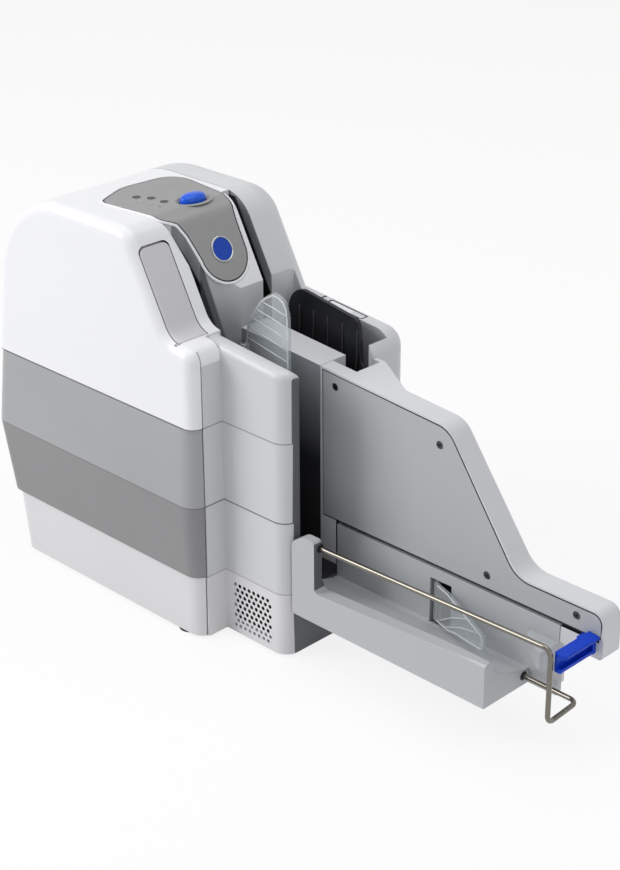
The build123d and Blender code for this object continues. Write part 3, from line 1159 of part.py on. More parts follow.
def wire_guide():
    """Bent wire: from the post along the tray, down, across and back to the tray's end."""
    end_y = WIRE_Y + WIRE_SKEW
    stops = [(WIRE_START_X, WIRE_Y, WIRE_TOP_START_Z),
             (UPRIGHT_X[1] + WIRE_RUN, WIRE_Y, WIRE_TOP_START_Z),
             (WIRE_END_X, end_y, WIRE_TOP_END_Z), (WIRE_END_X, end_y, WIRE_FOOT_Z),
             (WIRE_END_X - 2 * WIRE_SKEW, WIRE_FOOT_Y, WIRE_FOOT_Z),
             (TRAY_END_X - WIRE_HOLE_DEPTH + WIRE_SPARE, WIRE_FOOT_Y, WIRE_FOOT_Z)]
    path = FilletPolyline(*stops, radius=WIRE_BEND)
    start = Plane(origin=stops[0], z_dir=(1, 0, 0))
    return sweep(start.location * Circle(WIRE_RADIUS), path=path)


def end_stop():
    """Blue sliding stop: a bracket over the tray with a shoe held in the groove."""
    x0, x1 = STOP_X
    wall = STOP_WALL
    y0, y1 = STOP_Y
    z0, z1 = STOP_Z
    low_z = z1 - STOP_SLOPE
    foot_x = x1 - STOP_STEP
    edge, corner, far_corner = STOP_ROUNDS
    section = outline([(x0, z0, edge), (x0, z1, edge), (x1, low_z, edge), (x1, low_z - wall, edge),
                       (x0 + wall, z1 - wall), (x0 + wall, z0 + wall), (foot_x, z0 + wall),
                       (foot_x, z0, edge)])
    plan = outline([(x0, y0, corner), (x0, y1), (x1, y1), (x1, y0, far_corner)])
    body = slab_xz(section, y0, y1) & slab_xy(plan, *ALL_Z)
    neck_z = (GROOVE_Z + GROOVE_PLAY, GROOVE_Z + GROOVE_HEIGHT - GROOVE_PLAY)
    body += block((x0 - STOP_TAB, foot_x), (y1 - STOP_TAB_DEPTH, SHOE_Y[1]), neck_z)
    body += block((x0, foot_x), (y1 - wall, y1), (z0, low_z))
    body += block((x0 - SHOE_BACK, foot_x), SHOE_Y, SHOE_Z)
    return body


# ---------------------------------------------------------------------------
# Drive train, sensors and other insides
# ---------------------------------------------------------------------------
PAD_WIDTH = 14.0
PAD_TIP = 3.0                # half the width of the pad's flat tip
LUG_HEIGHT = 4.0
LUG_WIDTH = 9.0
LUG_WALL = 2.0
TYRE_GROOVES = 3
TYRE_GROOVE = (0.5, 0.8)     # half width and depth
FLANGE_HALF = 0.5
FLANGE_RADIUS = PULLEY_RADIUS + BELT_THICK + 0.8
SHAFT_END = 1.0              # how far the shafts stand out of the deck
MOTOR_BORE = 8.0
CARTRIDGE_X = (-42.0, -19.0)
CARTRIDGE_Y = (7.5, 20.0)
CARTRIDGE_HEIGHT = 24.0
CARTRIDGE_CAP = (2.0, 8.0, 3.0, 6.0)     # insets at back, front and sides, height
MAIN_BOARD_INSET = 9.0
MAIN_BOARD_THICK = 1.6
BOARD_Y = (BODY_WIDTH - MAIN_BOARD_INSET, BODY_WIDTH - MAIN_BOARD_INSET + MAIN_BOARD_THICK)
MAIN_BOARD_X = (-150.0, -50.0)
MAIN_BOARD_Z = (50.0, 118.0)
CHIP_X = (-140.0, -112.0, -84.0, -66.0)
CHIP_Z = (78.0, 90.0)
CHIP_THICK = 2.0
SPACER_INSET = 6.0
SPACER_RADIUS = 2.5
SPACER_GAP = 0.6
SOCKET_FACE_X = POD_BACK_FOOT_X - 3.6
SOCKET_BORE_DEPTH = 10.0
CONTACT_INSET = 1.0
POWER_LENGTH = 14.0
POWER_BORE = 2.75
POWER_PIN = 1.0
USB_LENGTH = 16.0
USB_FIT = 0.3
USB_WALL = 1.5
USB_TONGUE = (2.8, 1.4)      # half width and half height
FOOT_PLACES = ((-150.0, 16.0), (-150.0, BODY_WIDTH - 16.0), (-18.0, 10.0), (34.0, 40.0),
               (34.0, BODY_WIDTH - 15.0))
FOOT_RADIUS = 7.0


def belt_pulley(x, y):
    """Plain belt pulley between two thin flanges."""
    pulley = post(x, y, PULLEY_Z, PULLEY_RADIUS)
    for z in PULLEY_Z:
        pulley += post(x, y, (z - FLANGE_HALF, z + FLANGE_HALF), FLANGE_RADIUS)
    return pulley


def drive_roller(x, y):
    """Rubber roller on a shaft that ends in the belt pulley under the deck."""
    low, high = ROLLER_Z
    roller = post(x, y, (low, high), ROLLER_RADIUS)
    step = (high - low) / (TYRE_GROOVES + 1)
    half, depth = TYRE_GROOVE
    for i in range(TYRE_GROOVES):
        z = low + step * (i + 1)
        groove_z = (z - half, z + half)
        roller -= post(x, y, groove_z, ROLLER_RADIUS + JUST) - post(x, y, groove_z, ROLLER_RADIUS - depth)
    roller += post(x, y, (PULLEY_Z[0], DECK_Z[1] + SHAFT_END), SHAFT_RADIUS)
    return roller + belt_pulley(x, y)


def pinch_roller(x, y):
    """Free rubber roller on its own axle between two lugs of the outer guide."""
    low, high = ROLLER_Z
    axle = (WINDOW_Z[0] - LUG_HEIGHT + MOVE_GAP, WINDOW_Z[1] + LUG_HEIGHT - MOVE_GAP)
    return post(x, y, (low, high), PINCH_RADIUS) + post(x, y, axle, SHAFT_RADIUS)


def drive_motor():
    """Motor can on the base floor."""
    body = post(MOTOR_X, MIDDLE_Y, MOTOR_Z, MOTOR_RADIUS)
    bore_z = (MOTOR_Z[1] - MOTOR_BORE, MOTOR_Z[1])
    return body - post(MOTOR_X, MIDDLE_Y, bore_z, SHAFT_RADIUS + RUN_FIT)


def motor_pulley():
    """Pulley and shaft of the motor."""
    shaft_z = (MOTOR_Z[1] - MOTOR_BORE + MOVE_GAP, PULLEY_Z[0])
    return belt_pulley(MOTOR_X, MIDDLE_Y) + post(MOTOR_X, MIDDLE_Y, shaft_z, SHAFT_RADIUS)


def timing_belt():
    """Closed belt around all the pulleys."""
    centres = [(MOTOR_X, MIDDLE_Y)] + list(DRIVE_ROLLERS.values())
    inner = make_hull([edge for x, y in centres
                       for edge in (Pos(x, y) * Circle(PULLEY_RADIUS + RUN_FIT)).edges()])
    outer = make_hull([edge for x, y in centres
                       for edge in (Pos(x, y) * Circle(PULLEY_RADIUS + BELT_THICK)).edges()])
    middle = sum(PULLEY_Z) / 2
    return slab_xy(outer - inner, middle - BELT_HEIGHT / 2, middle + BELT_HEIGHT / 2)


def image_sensor(side):
    """Upright line sensor with its window on one side of the left track."""
    gap = SEAM_GAP / 2
    if side == "front":
        y = (LEFT_SLOT_Y[0] - SENSOR_DEPTH, LEFT_SLOT_Y[0] - gap)
    else:
        y = (LEFT_SLOT_Y[1] + gap, LEFT_SLOT_Y[1] + SENSOR_DEPTH)
    return block(SENSOR_X, y, SENSOR_Z)


def magnetic_head():
    """Read head for the magnetic ink line, in the right track."""
    y0 = RIGHT_SLOT_Y[1]
    return block(HEAD_X, (y0 + SEAM_GAP / 2, y0 + HEAD_DEPTH), HEAD_Z)


def separator_pad():
    """Rubber pad that holds back the second document at the feed roller."""
    half = PAD_WIDTH / 2
    y0 = RIGHT_NIP_Y + NIP_GAP / 2
    plan = outline([(FEED_ROLLER_X - half, RIGHT_SLOT_Y[1]), (FEED_ROLLER_X - PAD_TIP, y0),
                    (FEED_ROLLER_X + PAD_TIP, y0), (FEED_ROLLER_X + half, RIGHT_SLOT_Y[1]),
                    (FEED_ROLLER_X + half, GUIDE_OUT_Y[1]), (FEED_ROLLER_X - half, GUIDE_OUT_Y[1])])
    return slab_xy(plan, WINDOW_Z[0] + SEAM_GAP / 2, WINDOW_Z[1] - SEAM_GAP / 2)


def ink_cartridge():
    """Ink cartridge for the endorsing print, standing in the bay under the door."""
    back, front, side, height = CARTRIDGE_CAP
    top = BAY_FLOOR_Z + CARTRIDGE_HEIGHT
    body = block(CARTRIDGE_X, CARTRIDGE_Y, (BAY_FLOOR_Z, top))
    return body + block((CARTRIDGE_X[0] + back, CARTRIDGE_X[1] - front),
                        (CARTRIDGE_Y[0] + side, CARTRIDGE_Y[1] - side), (top, top + height))


def main_board():
    """Main circuit board in the right pod, on four spacers from the shell."""
    board = block(MAIN_BOARD_X, BOARD_Y, MAIN_BOARD_Z)
    chip_width = CHIP_Z[1] - CHIP_Z[0]
    for x in CHIP_X:
        board += block((x, x + chip_width), (BOARD_Y[0] - CHIP_THICK, BOARD_Y[0]), CHIP_Z)
    for x in (MAIN_BOARD_X[0] + SPACER_INSET, MAIN_BOARD_X[1] - SPACER_INSET):
        for z in (MAIN_BOARD_Z[0] + SPACER_INSET, MAIN_BOARD_Z[1] - SPACER_INSET):
            end_y = BODY_WIDTH - SHELL_WALL - SPACER_GAP
            board += rod_y(x, (BOARD_Y[1], end_y), z, SPACER_RADIUS)
    return board


def power_inlet():
    """Round low-voltage socket in the back wall."""
    back = SOCKET_FACE_X
    body = rod_x((back, back + POWER_LENGTH), POWER_Y, SOCKET_Z, POWER_RADIUS)
    body -= rod_x((back, back + SOCKET_BORE_DEPTH), POWER_Y, SOCKET_Z, POWER_BORE)
    contact = (back + CONTACT_INSET, back + SOCKET_BORE_DEPTH + JUST)
    return body + rod_x(contact, POWER_Y, SOCKET_Z, POWER_PIN)


def usb_block(x, half_width, half_height):
    """Box centred on the data socket's axis."""
    return block(x, (USB_Y - half_width, USB_Y + half_width),
                 (SOCKET_Z - half_height, SOCKET_Z + half_height))


def usb_socket():
    """Square data socket in the back wall."""
    back = SOCKET_FACE_X
    width, height = (size / 2 - USB_FIT for size in USB_SIZE)
    body = usb_block((back, back + USB_LENGTH), width, height)
    body -= usb_block((back, back + SOCKET_BORE_DEPTH), width - USB_WALL, height - USB_WALL)
    contact = (back + CONTACT_INSET, back + SOCKET_BORE_DEPTH + JUST)
    return body + usb_block(contact, *USB_TONGUE)


def rubber_feet():
    """Rubber feet under the corners of the base."""
    return [post(x, y, (-FOOT_HEIGHT, 0), FOOT_RADIUS) for x, y in FOOT_PLACES]


# ---------------------------------------------------------------------------
# Write every node, moved so the origin is the bottom centre of the whole
# ---------------------------------------------------------------------------
def nodes():
    """Name and shape of every piece, in modelling coordinates."""
    pieces = {
        "base_tub": base_tub(),
        "rubber_feet": rubber_feet(),
        "mid_base_shell": mid_base_shell(),
        "mid_lower_shell": mid_shell((BASE_TOP_Z, CREASE_Z)),
        "mid_upper_shell": mid_shell((CREASE_Z, SEAM_Z)),
        "mid_top_shell": mid_top_shell(),
        "left_band_shell": band_shell_left(),
        "right_band_shell": band_shell_right(),
        "left_cover": left_cover(),
        "right_cover": right_cover(),
        "service_door": service_door(),
        "door_hinge_pins": door_hinge_pins(),
        "control_panel": control_panel(),
        "power_button": power_button(),
        "panel_board": panel_board(),
        "status_lights": panel_marks(),
        "badge": badge(),
        "track_floor": track_floor(),
        "outer_guide": outer_guide(),
        "inner_guide": inner_guide(),
        "island_block": island_block(),
        "hopper_walls": hopper_walls(),
        "paddle": paddle(),
        "paddle_pin": post(PADDLE_X, PADDLE_Y, PADDLE_PIN_Z, PADDLE_PIN),
        "exit_flag": exit_flag(),
        "exit_flag_pin": post(FLAG_X, FLAG_Y, EXIT_PIN_Z, FLAG_PIN),
        "extension_shell": extension_shell(),
        "panel_insert": panel_insert(),
        "panel_screws": panel_screws(),
        "tray": tray(),
        "wire_guide": wire_guide(),
        "end_stop": end_stop(),
        "tray_flag": tray_flag(),
        "tray_flag_pin": post(TRAY_FLAG_X, TRAY_FLAG_Y, FLAG_PIN_Z, FLAG_PIN),
        "drive_motor": drive_motor(),
        "motor_pulley": motor_pulley(),
        "timing_belt": timing_belt(),
        "image_sensor_front": image_sensor("front"),
        "image_sensor_back": image_sensor("back"),
        "magnetic_head": magnetic_head(),
        "separator_pad": separator_pad(),
        "ink_cartridge": ink_cartridge(),
        "main_board": main_board(),
        "power_inlet": power_inlet(),
        "usb_socket": usb_socket(),
    }
    for name, (x, y) in DRIVE_ROLLERS.items():
        pieces[name] = drive_roller(x, y)
    for name, (x, y) in PINCH_ROLLERS.items():
        pieces[name] = pinch_roller(x, y)
    return pieces


def main():
    os.makedirs("parts", exist_ok=True)
    centre_x = (POD_BACK_CREASE_X + PANEL_END_X) / 2
    to_frame = Pos(-centre_x, -MIDDLE_Y, FOOT_HEIGHT)
    for name, shape in nodes().items():
        solids = shape if isinstance(shape, list) else shape.solids()
        moved = [to_frame * solid for solid in solids]
        export_step(Compound(children=moved) if len(moved) > 1 else moved[0], f"parts/{name}.step")


if __name__ == "__main__":
    main()
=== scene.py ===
"""Looks of the desktop cheque scanner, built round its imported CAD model."""

import math

import bmesh
import bpy
from mathutils import Matrix, Vector


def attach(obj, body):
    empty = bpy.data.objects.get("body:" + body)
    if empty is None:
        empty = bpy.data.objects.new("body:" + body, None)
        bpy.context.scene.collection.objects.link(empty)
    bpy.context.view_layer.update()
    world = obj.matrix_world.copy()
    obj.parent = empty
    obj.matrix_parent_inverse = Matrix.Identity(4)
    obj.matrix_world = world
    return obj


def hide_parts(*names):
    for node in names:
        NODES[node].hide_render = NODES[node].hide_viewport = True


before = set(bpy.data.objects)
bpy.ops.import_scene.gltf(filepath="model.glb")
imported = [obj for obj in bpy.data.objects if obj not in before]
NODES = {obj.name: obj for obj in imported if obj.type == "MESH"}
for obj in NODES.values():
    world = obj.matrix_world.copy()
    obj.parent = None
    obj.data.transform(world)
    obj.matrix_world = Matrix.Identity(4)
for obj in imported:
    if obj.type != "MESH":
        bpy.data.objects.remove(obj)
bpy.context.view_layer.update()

# The CAD model's own datum in the shared frame; design sizes are millimetres.
DATUM = Vector((-26.75, -59.5, 2.0))
MM = 0.001


def at(x, y, z):
    """A point given in the design's millimetres, in frame metres."""
    return (Vector((x, y, z)) + DATUM) * MM


def design(point):
    """A frame point in the design's millimetres."""
    return Vector(point) / MM - DATUM


# ---------------------------------------------------------------------------
# Camera, lamps and floor
# ---------------------------------------------------------------------------
CAMERA_PLACE = (719.4, -633.0, 587.4)
CAMERA_AZIMUTH = 44.85
CAMERA_ELEVATION = 25.58
CAMERA_ROLL = -0.33
PHOTO_LONG_SIDE = 870
FOCAL_PIXELS = 1960.0
SENSOR = 36.0
NEAR_CLIP = 0.01

# Name, place, target, size and power of each lamp, in metres and watts.
LAMPS = (
    ("key", (-1.15, -1.35, 1.3), (0, 0, 0.10), (1.1, 1.1), 25.0),
    ("top", (0.1, 0.1, 1.9), (0, 0, 0.1), (1.8, 1.8), 15.0),
    ("side", (1.6, -0.1, 0.8), (0.05, 0, 0.1), (1.0, 1.0), 3.0),
)
STUDIO_LIGHT = (0.93, 0.95, 1.0, 1)
STUDIO_STRENGTH = 0.36
FLOOR_SIZE = 12.0
FLOOR_COLOUR = (0.92, 0.92, 0.92, 1)
FLOOR_WHITE_SHARE = 0.84     # how white the floor looks under its shadows


def make_camera():
    """Camera that sees the object as the photograph does."""
    a, e, r = (math.radians(v) for v in (CAMERA_AZIMUTH, CAMERA_ELEVATION, CAMERA_ROLL))
    back = Vector((math.sin(a) * math.cos(e), -math.cos(a) * math.cos(e), math.sin(e)))
    level = Vector((math.cos(a), math.sin(a), 0.0))
    rise = back.cross(level)
    right = math.cos(r) * level + math.sin(r) * rise
    up = back.cross(right)
    data = bpy.data.cameras.new("camera")
    data.sensor_width = SENSOR
    data.lens = FOCAL_PIXELS / PHOTO_LONG_SIDE * SENSOR
    data.clip_start = NEAR_CLIP
    camera = bpy.data.objects.new("camera", data)
    camera.matrix_world = Matrix.Translation(at(*CAMERA_PLACE)) @ Matrix(
        (right, up, back)).transposed().to_4x4()
    bpy.context.scene.collection.objects.link(camera)
    bpy.context.scene.camera = camera


def make_lamp(name, place, target, size, power):
    """Soft rectangular lamp aimed at a point."""
    data = bpy.data.lights.new(name, "AREA")
    data.shape = "RECTANGLE"
    data.size, data.size_y = size
    data.energy = power
    lamp = bpy.data.objects.new(name, data)
    lamp.location = place
    lamp.rotation_euler = (Vector(target) - Vector(place)).to_track_quat("-Z", "Y").to_euler()
    bpy.context.scene.collection.objects.link(lamp)


def plain_math(tree, operation, *values):
    """Result of a math node on one or two values; each may be a number or a socket."""
    node = tree.nodes.new("ShaderNodeMath")
    node.operation = operation
    for i, value in enumerate(values):
        if isinstance(value, float):
            node.inputs[i].default_value = value
        else:
            tree.links.new(value, node.inputs[i])
    return node.outputs[0]


def show_mix(tree, share, first, second, out):
    """Sends a mix of two shaders to a surface output."""
    mix = tree.nodes.new("ShaderNodeMixShader")
    for i, socket in enumerate((share, first.outputs[0], second.outputs[0])):
        tree.links.new(socket, mix.inputs[i])
    tree.links.new(mix.outputs[0], out.inputs["Surface"])


def seen_share(tree, share=1.0):
    """A share of the rays that come from the camera, a mirror or glass."""
    path = tree.nodes.new("ShaderNodeLightPath")
    seen = path.outputs["Is Camera Ray"]
    for name in ("Is Glossy Ray", "Is Transmission Ray"):
        seen = plain_math(tree, "MAXIMUM", seen, path.outputs[name])
    return plain_math(tree, "MULTIPLY", seen, share)


def make_world():
    """Even studio light; eyes, mirrors and glass see it white."""
    world = bpy.data.worlds.new("studio")
    bpy.context.scene.world = world
    world.use_nodes = True
    tree = world.node_tree
    tree.nodes.clear()
    out = tree.nodes.new("ShaderNodeOutputWorld")
    glow = tree.nodes.new("ShaderNodeBackground")
    glow.inputs["Color"].default_value = STUDIO_LIGHT
    glow.inputs["Strength"].default_value = STUDIO_STRENGTH
    white = tree.nodes.new("ShaderNodeBackground")
    white.inputs["Strength"].default_value = 1.0
    show_mix(tree, seen_share(tree), glow, white, out)


def make_floor():
    """Plain pale floor that shows white to the camera and keeps a light shadow."""
    bpy.ops.mesh.primitive_plane_add(size=FLOOR_SIZE, location=(0, 0, 0))
    floor = bpy.context.object
    floor.name = "floor"
    material = bpy.data.materials.new("floor")
    material.use_nodes = True
    tree = material.node_tree
    tree.nodes.clear()
    out = tree.nodes.new("ShaderNodeOutputMaterial")
    matt = tree.nodes.new("ShaderNodeBsdfDiffuse")
    matt.inputs["Color"].default_value = FLOOR_COLOUR
    white = tree.nodes.new("ShaderNodeEmission")
    white.inputs["Strength"].default_value = 1.0
    show_mix(tree, seen_share(tree, FLOOR_WHITE_SHARE), matt, white, out)
    floor.data.materials.append(material)


# ---------------------------------------------------------------------------
# Materials
# ---------------------------------------------------------------------------
DRIFT_SCALE = 14.0           # broad tone changes, features per metre
PATCH_SCALE = 120.0          # patches of more and less gloss
GRAIN_SCALE = 2600.0         # moulded texture of the plastic
GRAIN_DEPTH = 0.00005
GRAIN_WALL = 0.25            # strength of that texture on inner walls
WALL_ROUGH = (0.42, 0.52)
COAT_ROUGH = 0.12
BEVEL_SAMPLES = 6
EDGE_TURN = (0.75, 0.99)     # normals' product from a worn, highlit edge to a flat face
WEAR_AND_HIGHLIGHT_SHARE = 0.6             # how strong the wear and the painted highlight are at an edge
JOINT_FADE = (0.5, 1.4)      # a joint line's full and last width, as shares of its half width
JOINT_DARK = 0.04
STREAK_SCALE = 900.0
STREAK_DEPTH = 0.00003
STREAK_STRENGTH = 0.15
STREAK_TONES = (0.85, 1.1)
STREAK_ROUGH = (-0.06, 0.08)
SCUFF_SCALE = 260.0
ACRYLIC_ROUGH = (0.05, 0.14)
ACRYLIC_IOR = 1.49
ACRYLIC_TINT = (0.90, 0.92, 0.93, 1)
GLANCE_BLEND = 0.25
FINE_DETAIL = 4.0


def rgb(text):
    """Linear colour of a display hex code."""
    channels = [int(text[i:i + 2], 16) / 255 for i in (0, 2, 4)]
    return tuple(c / 12.92 if c <= 0.04045 else ((c + 0.055) / 1.055) ** 2.4 for c in channels)


def scaled(colour, factor):
    """The colour made lighter or darker."""
    return tuple(min(1.0, c * factor) for c in colour)


def noise(tree, coords, scale, detail=2.0):
    """Noise at a given number of features per metre, in the object's own coordinates."""
    node = tree.nodes.new("ShaderNodeTexNoise")
    node.inputs["Scale"].default_value = scale
    node.inputs["Detail"].default_value = detail
    tree.links.new(coords, node.inputs["Vector"])
    return node.outputs["Fac"]


def spread(tree, value, low, high, start=0.3, end=0.7):
    """Maps a value between start and end to the range from low to high."""
    node = tree.nodes.new("ShaderNodeMapRange")
    node.inputs["From Min"].default_value = start
    node.inputs["From Max"].default_value = end
    node.inputs["To Min"].default_value = low
    node.inputs["To Max"].default_value = high
    tree.links.new(value, node.inputs["Value"])
    return node.outputs["Result"]


def tint_mix(tree, factor, first, second):
    """Colour between two, by a factor; either may be a colour or a socket."""
    node = tree.nodes.new("ShaderNodeMix")
    node.data_type = "RGBA"
    for value, name in ((first, "A"), (second, "B")):
        if isinstance(value, tuple):
            node.inputs[name].default_value = (*value, 1)
        else:
            tree.links.new(value, node.inputs[name])
    tree.links.new(factor, node.inputs["Factor"])
    return node.outputs["Result"]


def empty_material(name):
    """New material with its node tree, shader and object coordinates."""
    material = bpy.data.materials.new(name)
    material.use_nodes = True
    tree = material.node_tree
    coords = tree.nodes.new("ShaderNodeTexCoord").outputs["Object"]
    return material, tree, tree.nodes["Principled BSDF"], coords


def bump(tree, height, strength, distance, normal=None):
    """Bump of a height from zero to one, over an optional smoothed normal; distance in metres."""
    node = tree.nodes.new("ShaderNodeBump")
    node.inputs["Strength"].default_value = strength
    node.inputs["Distance"].default_value = distance
    tree.links.new(height, node.inputs["Height"])
    if normal is not None:
        tree.links.new(normal, node.inputs["Normal"])
    return node.outputs["Normal"]


def round_edges(tree, radius):
    """Shading normal with small rounded edges, and how near a point is to such an edge."""
    bevel = tree.nodes.new("ShaderNodeBevel")
    bevel.samples = BEVEL_SAMPLES
    bevel.inputs["Radius"].default_value = radius * MM
    true_normal = tree.nodes.new("ShaderNodeNewGeometry").outputs["Normal"]
    dot = tree.nodes.new("ShaderNodeVectorMath")
    dot.operation = "DOT_PRODUCT"
    tree.links.new(bevel.outputs["Normal"], dot.inputs[0])
    tree.links.new(true_normal, dot.inputs[1])
    nearness = spread(tree, dot.outputs["Value"], 1.0, 0.0, *EDGE_TURN)
    return bevel.outputs["Normal"], nearness


def joint_line(tree, coords, axis, value, half, beyond_x=None):
    """One in a thin line where a design coordinate has a value, and zero beside it."""
    split = tree.nodes.new("ShaderNodeSeparateXYZ")
    tree.links.new(coords, split.inputs[0])
    place = (value + DATUM["XYZ".index(axis)]) * MM
    apart = plain_math(tree, "ABSOLUTE", plain_math(tree, "SUBTRACT", split.outputs[axis], place))
    line = spread(tree, apart, 1.0, 0.0, *(half * share * MM for share in JOINT_FADE))
    if beyond_x is None:
        return line
    front = plain_math(tree, "GREATER_THAN", split.outputs["X"], (beyond_x + DATUM.x) * MM)
    return plain_math(tree, "MULTIPLY", line, front)


def moulded(name, hex_code, rough, grain, metal=0.0, coat=0.0, fine=GRAIN_SCALE, vary=0.03,
            edge=0.4, wear_and_highlight=1.22, smudge=0.045, shine=0.5, lines=()):
    """Moulded plastic: broad tone drift, fine grain, dark joints, edges lighter by wear and painted
    highlight.
    """
    colour = rgb(hex_code)
    material, tree, shader, coords = empty_material(name)
    broad = spread(tree, noise(tree, coords, DRIFT_SCALE), 0.0, 1.0)
    tone = tint_mix(tree, broad, scaled(colour, 1 - vary), scaled(colour, 1 + vary))
    normal, nearness = round_edges(tree, edge)
    # Edges painted lighter: partly wear, partly a painted highlight where edges catch the light.
    edge_wear_and_highlight = spread(tree, nearness, 0.0, WEAR_AND_HIGHLIGHT_SHARE, 0.0, 1.0)
    worn_and_highlit = tint_mix(tree, edge_wear_and_highlight, tone, scaled(colour, wear_and_highlight))
    for strength, *line in lines:
        share = spread(tree, joint_line(tree, coords, *line), 0.0, strength, 0.0, 1.0)
        worn_and_highlit = tint_mix(tree, share, worn_and_highlit, scaled(colour, JOINT_DARK))
    tree.links.new(worn_and_highlit, shader.inputs["Base Color"])
    patches = spread(tree, noise(tree, coords, PATCH_SCALE), rough - smudge, rough + smudge)
    tree.links.new(patches, shader.inputs["Roughness"])
    shader.inputs["Metallic"].default_value = metal
    shader.inputs["Specular IOR Level"].default_value = shine
    shader.inputs["Coat Weight"].default_value = coat
    shader.inputs["Coat Roughness"].default_value = COAT_ROUGH
    surface = bump(tree, noise(tree, coords, fine), grain, GRAIN_DEPTH, normal)
    tree.links.new(surface, shader.inputs["Normal"])
    return material


def brushed(name, hex_code, rough, stretch):
    """Metal with fine drawn scratches along one axis."""
    colour = rgb(hex_code)
    material, tree, shader, coords = empty_material(name)
    place = tree.nodes.new("ShaderNodeMapping")
    place.inputs["Scale"].default_value = stretch
    tree.links.new(coords, place.inputs["Vector"])
    streak = noise(tree, place.outputs["Vector"], STREAK_SCALE, FINE_DETAIL)
    tone = tint_mix(tree, spread(tree, streak, 0.0, 1.0),
                    *(scaled(colour, share) for share in STREAK_TONES))
    tree.links.new(tone, shader.inputs["Base Color"])
    gloss = spread(tree, streak, *(rough + step for step in STREAK_ROUGH))
    tree.links.new(gloss, shader.inputs["Roughness"])
    shader.inputs["Metallic"].default_value = 1.0
    tree.links.new(bump(tree, streak, STREAK_STRENGTH, STREAK_DEPTH), shader.inputs["Normal"])
    return material


def along(tree, coords, direction, point):
    """Distance of a surface point beyond a design point, along a direction, in metres."""
    dot = tree.nodes.new("ShaderNodeVectorMath")
    dot.operation = "DOT_PRODUCT"
    tree.links.new(coords, dot.inputs[0])
    dot.inputs[1].default_value = direction
    return plain_math(tree, "SUBTRACT", dot.outputs["Value"], Vector(direction).dot(at(*point)))


def matt_wall(name, shade):
    """Inner wall whose colour, painted shade included, a function of the node tree and coordinates
    gives.
    """
    material, tree, shader, coords = empty_material(name)
    tree.links.new(shade(tree, coords), shader.inputs["Base Color"])
    patches = spread(tree, noise(tree, coords, PATCH_SCALE), *WALL_ROUGH)
    tree.links.new(patches, shader.inputs["Roughness"])
    surface = bump(tree, noise(tree, coords, GRAIN_SCALE), GRAIN_WALL, GRAIN_DEPTH)
    tree.links.new(surface, shader.inputs["Normal"])
    return material


def blend(tree, value, start, end):
    """Zero before a start and one past an end, both in millimetres."""
    return spread(tree, value, 0.0, 1.0, start * MM, end * MM)


def pocket_shade(tree, coords):
    """Painted shade: pale at the pocket's open top and darker below."""
    rise = blend(tree, along(tree, coords, (0, 0, 1), (0, 0, POCKET_DARK_Z)), 0.0, POCKET_RISE)
    return tint_mix(tree, rise, rgb("242528"), rgb("97999C"))


def slot_shade(tree, coords):
    """Grey beside the cover's skin, with painted shade that turns black deeper in the slot."""
    top_depth = along(tree, coords, (0, 0, -2), (0, 0, HUMP_TOP_Z))
    slope_depth = along(tree, coords, tuple(-SLOPE_NORMAL), tuple(SLOPE_POINT))
    deep = blend(tree, plain_math(tree, "MINIMUM", top_depth, slope_depth), *SLOT_SHADE_DEPTH)
    return tint_mix(tree, deep, rgb("A2A4A7"), rgb("141517"))


def tongue_shade(tree, coords):
    """Pale tongue face with painted shade: greyer towards its foot, the slot's dark side along its
    edge.
    """
    rise = blend(tree, along(tree, coords, (0, 0, 1), (0, 0, TONGUE_FOOT_Z)), 0.0, TONGUE_RISE)
    pale = tint_mix(tree, rise, rgb("A4A6A8"), rgb("E6E7E9"))
    across = along(tree, coords, TONGUE_EDGE_NORMAL, TONGUE_EDGE_POINT)
    grey = tint_mix(tree, blend(tree, across, *TONGUE_EDGE_GREY), rgb("66686B"), pale)
    return tint_mix(tree, blend(tree, across, *TONGUE_EDGE_BLACK), rgb("141517"), grey)


def clear_plastic(name, tint, least, most):
    """Thin clear acrylic: see-through when faced, glossier and greyer at a glance."""
    material, tree, gloss, coords = empty_material(name)
    gloss.inputs["Base Color"].default_value = (*rgb(tint), 1)
    gloss.inputs["IOR"].default_value = ACRYLIC_IOR
    scuffs = spread(tree, noise(tree, coords, SCUFF_SCALE, FINE_DETAIL), *ACRYLIC_ROUGH)
    tree.links.new(scuffs, gloss.inputs["Roughness"])
    see = tree.nodes.new("ShaderNodeBsdfTransparent")
    see.inputs["Color"].default_value = ACRYLIC_TINT
    facing = tree.nodes.new("ShaderNodeLayerWeight")
    facing.inputs["Blend"].default_value = GLANCE_BLEND
    share = spread(tree, facing.outputs["Facing"], least, most, 0.0, 1.0)
    show_mix(tree, share, see, gloss, tree.nodes["Material Output"])
    return material


HUMP_TOP_Z = 234.4
ARC_START_X = -58.13         # where the hump's top turns down into the slope
ARC_RADIUS = 14.0
ARC_CENTRE_Z = HUMP_TOP_Z - ARC_RADIUS
SLOPE_RUN = Vector((30.2, 0.0, -55.55)).normalized()
SLOPE_NORMAL = Vector((-SLOPE_RUN.z, 0.0, SLOPE_RUN.x))
SLOPE_POINT = Vector((-49.8, 0.0, HUMP_TOP_Z))
SEAM_Z = 131.0               # joint between the covers and the bands
CREASE_Z = 83.0              # where the bands turn darker
BASE_TOP_Z = 38.5            # joint between the bands and the base

POCKET_DARK_Z = 105.0        # where the painted shade on the exit pocket's wall starts to pale upwards
POCKET_RISE = 61.0
# Depths below the skin over which the slot walls' painted shade turns black.
SLOT_SHADE_DEPTH = (5.5, 6.6)
# Painted shade on the tongue's face: where its greying starts, and the grey and black bands along
# its edge.
TONGUE_FOOT_Z = 168.0
TONGUE_RISE = 36.0
TONGUE_EDGE_POINT = (0, 45.4, 196.0)
TONGUE_EDGE_NORMAL = (0, 1, 0.25)
TONGUE_EDGE_GREY = (-0.5, 0.5)
TONGUE_EDGE_BLACK = (-3.7, -2.7)

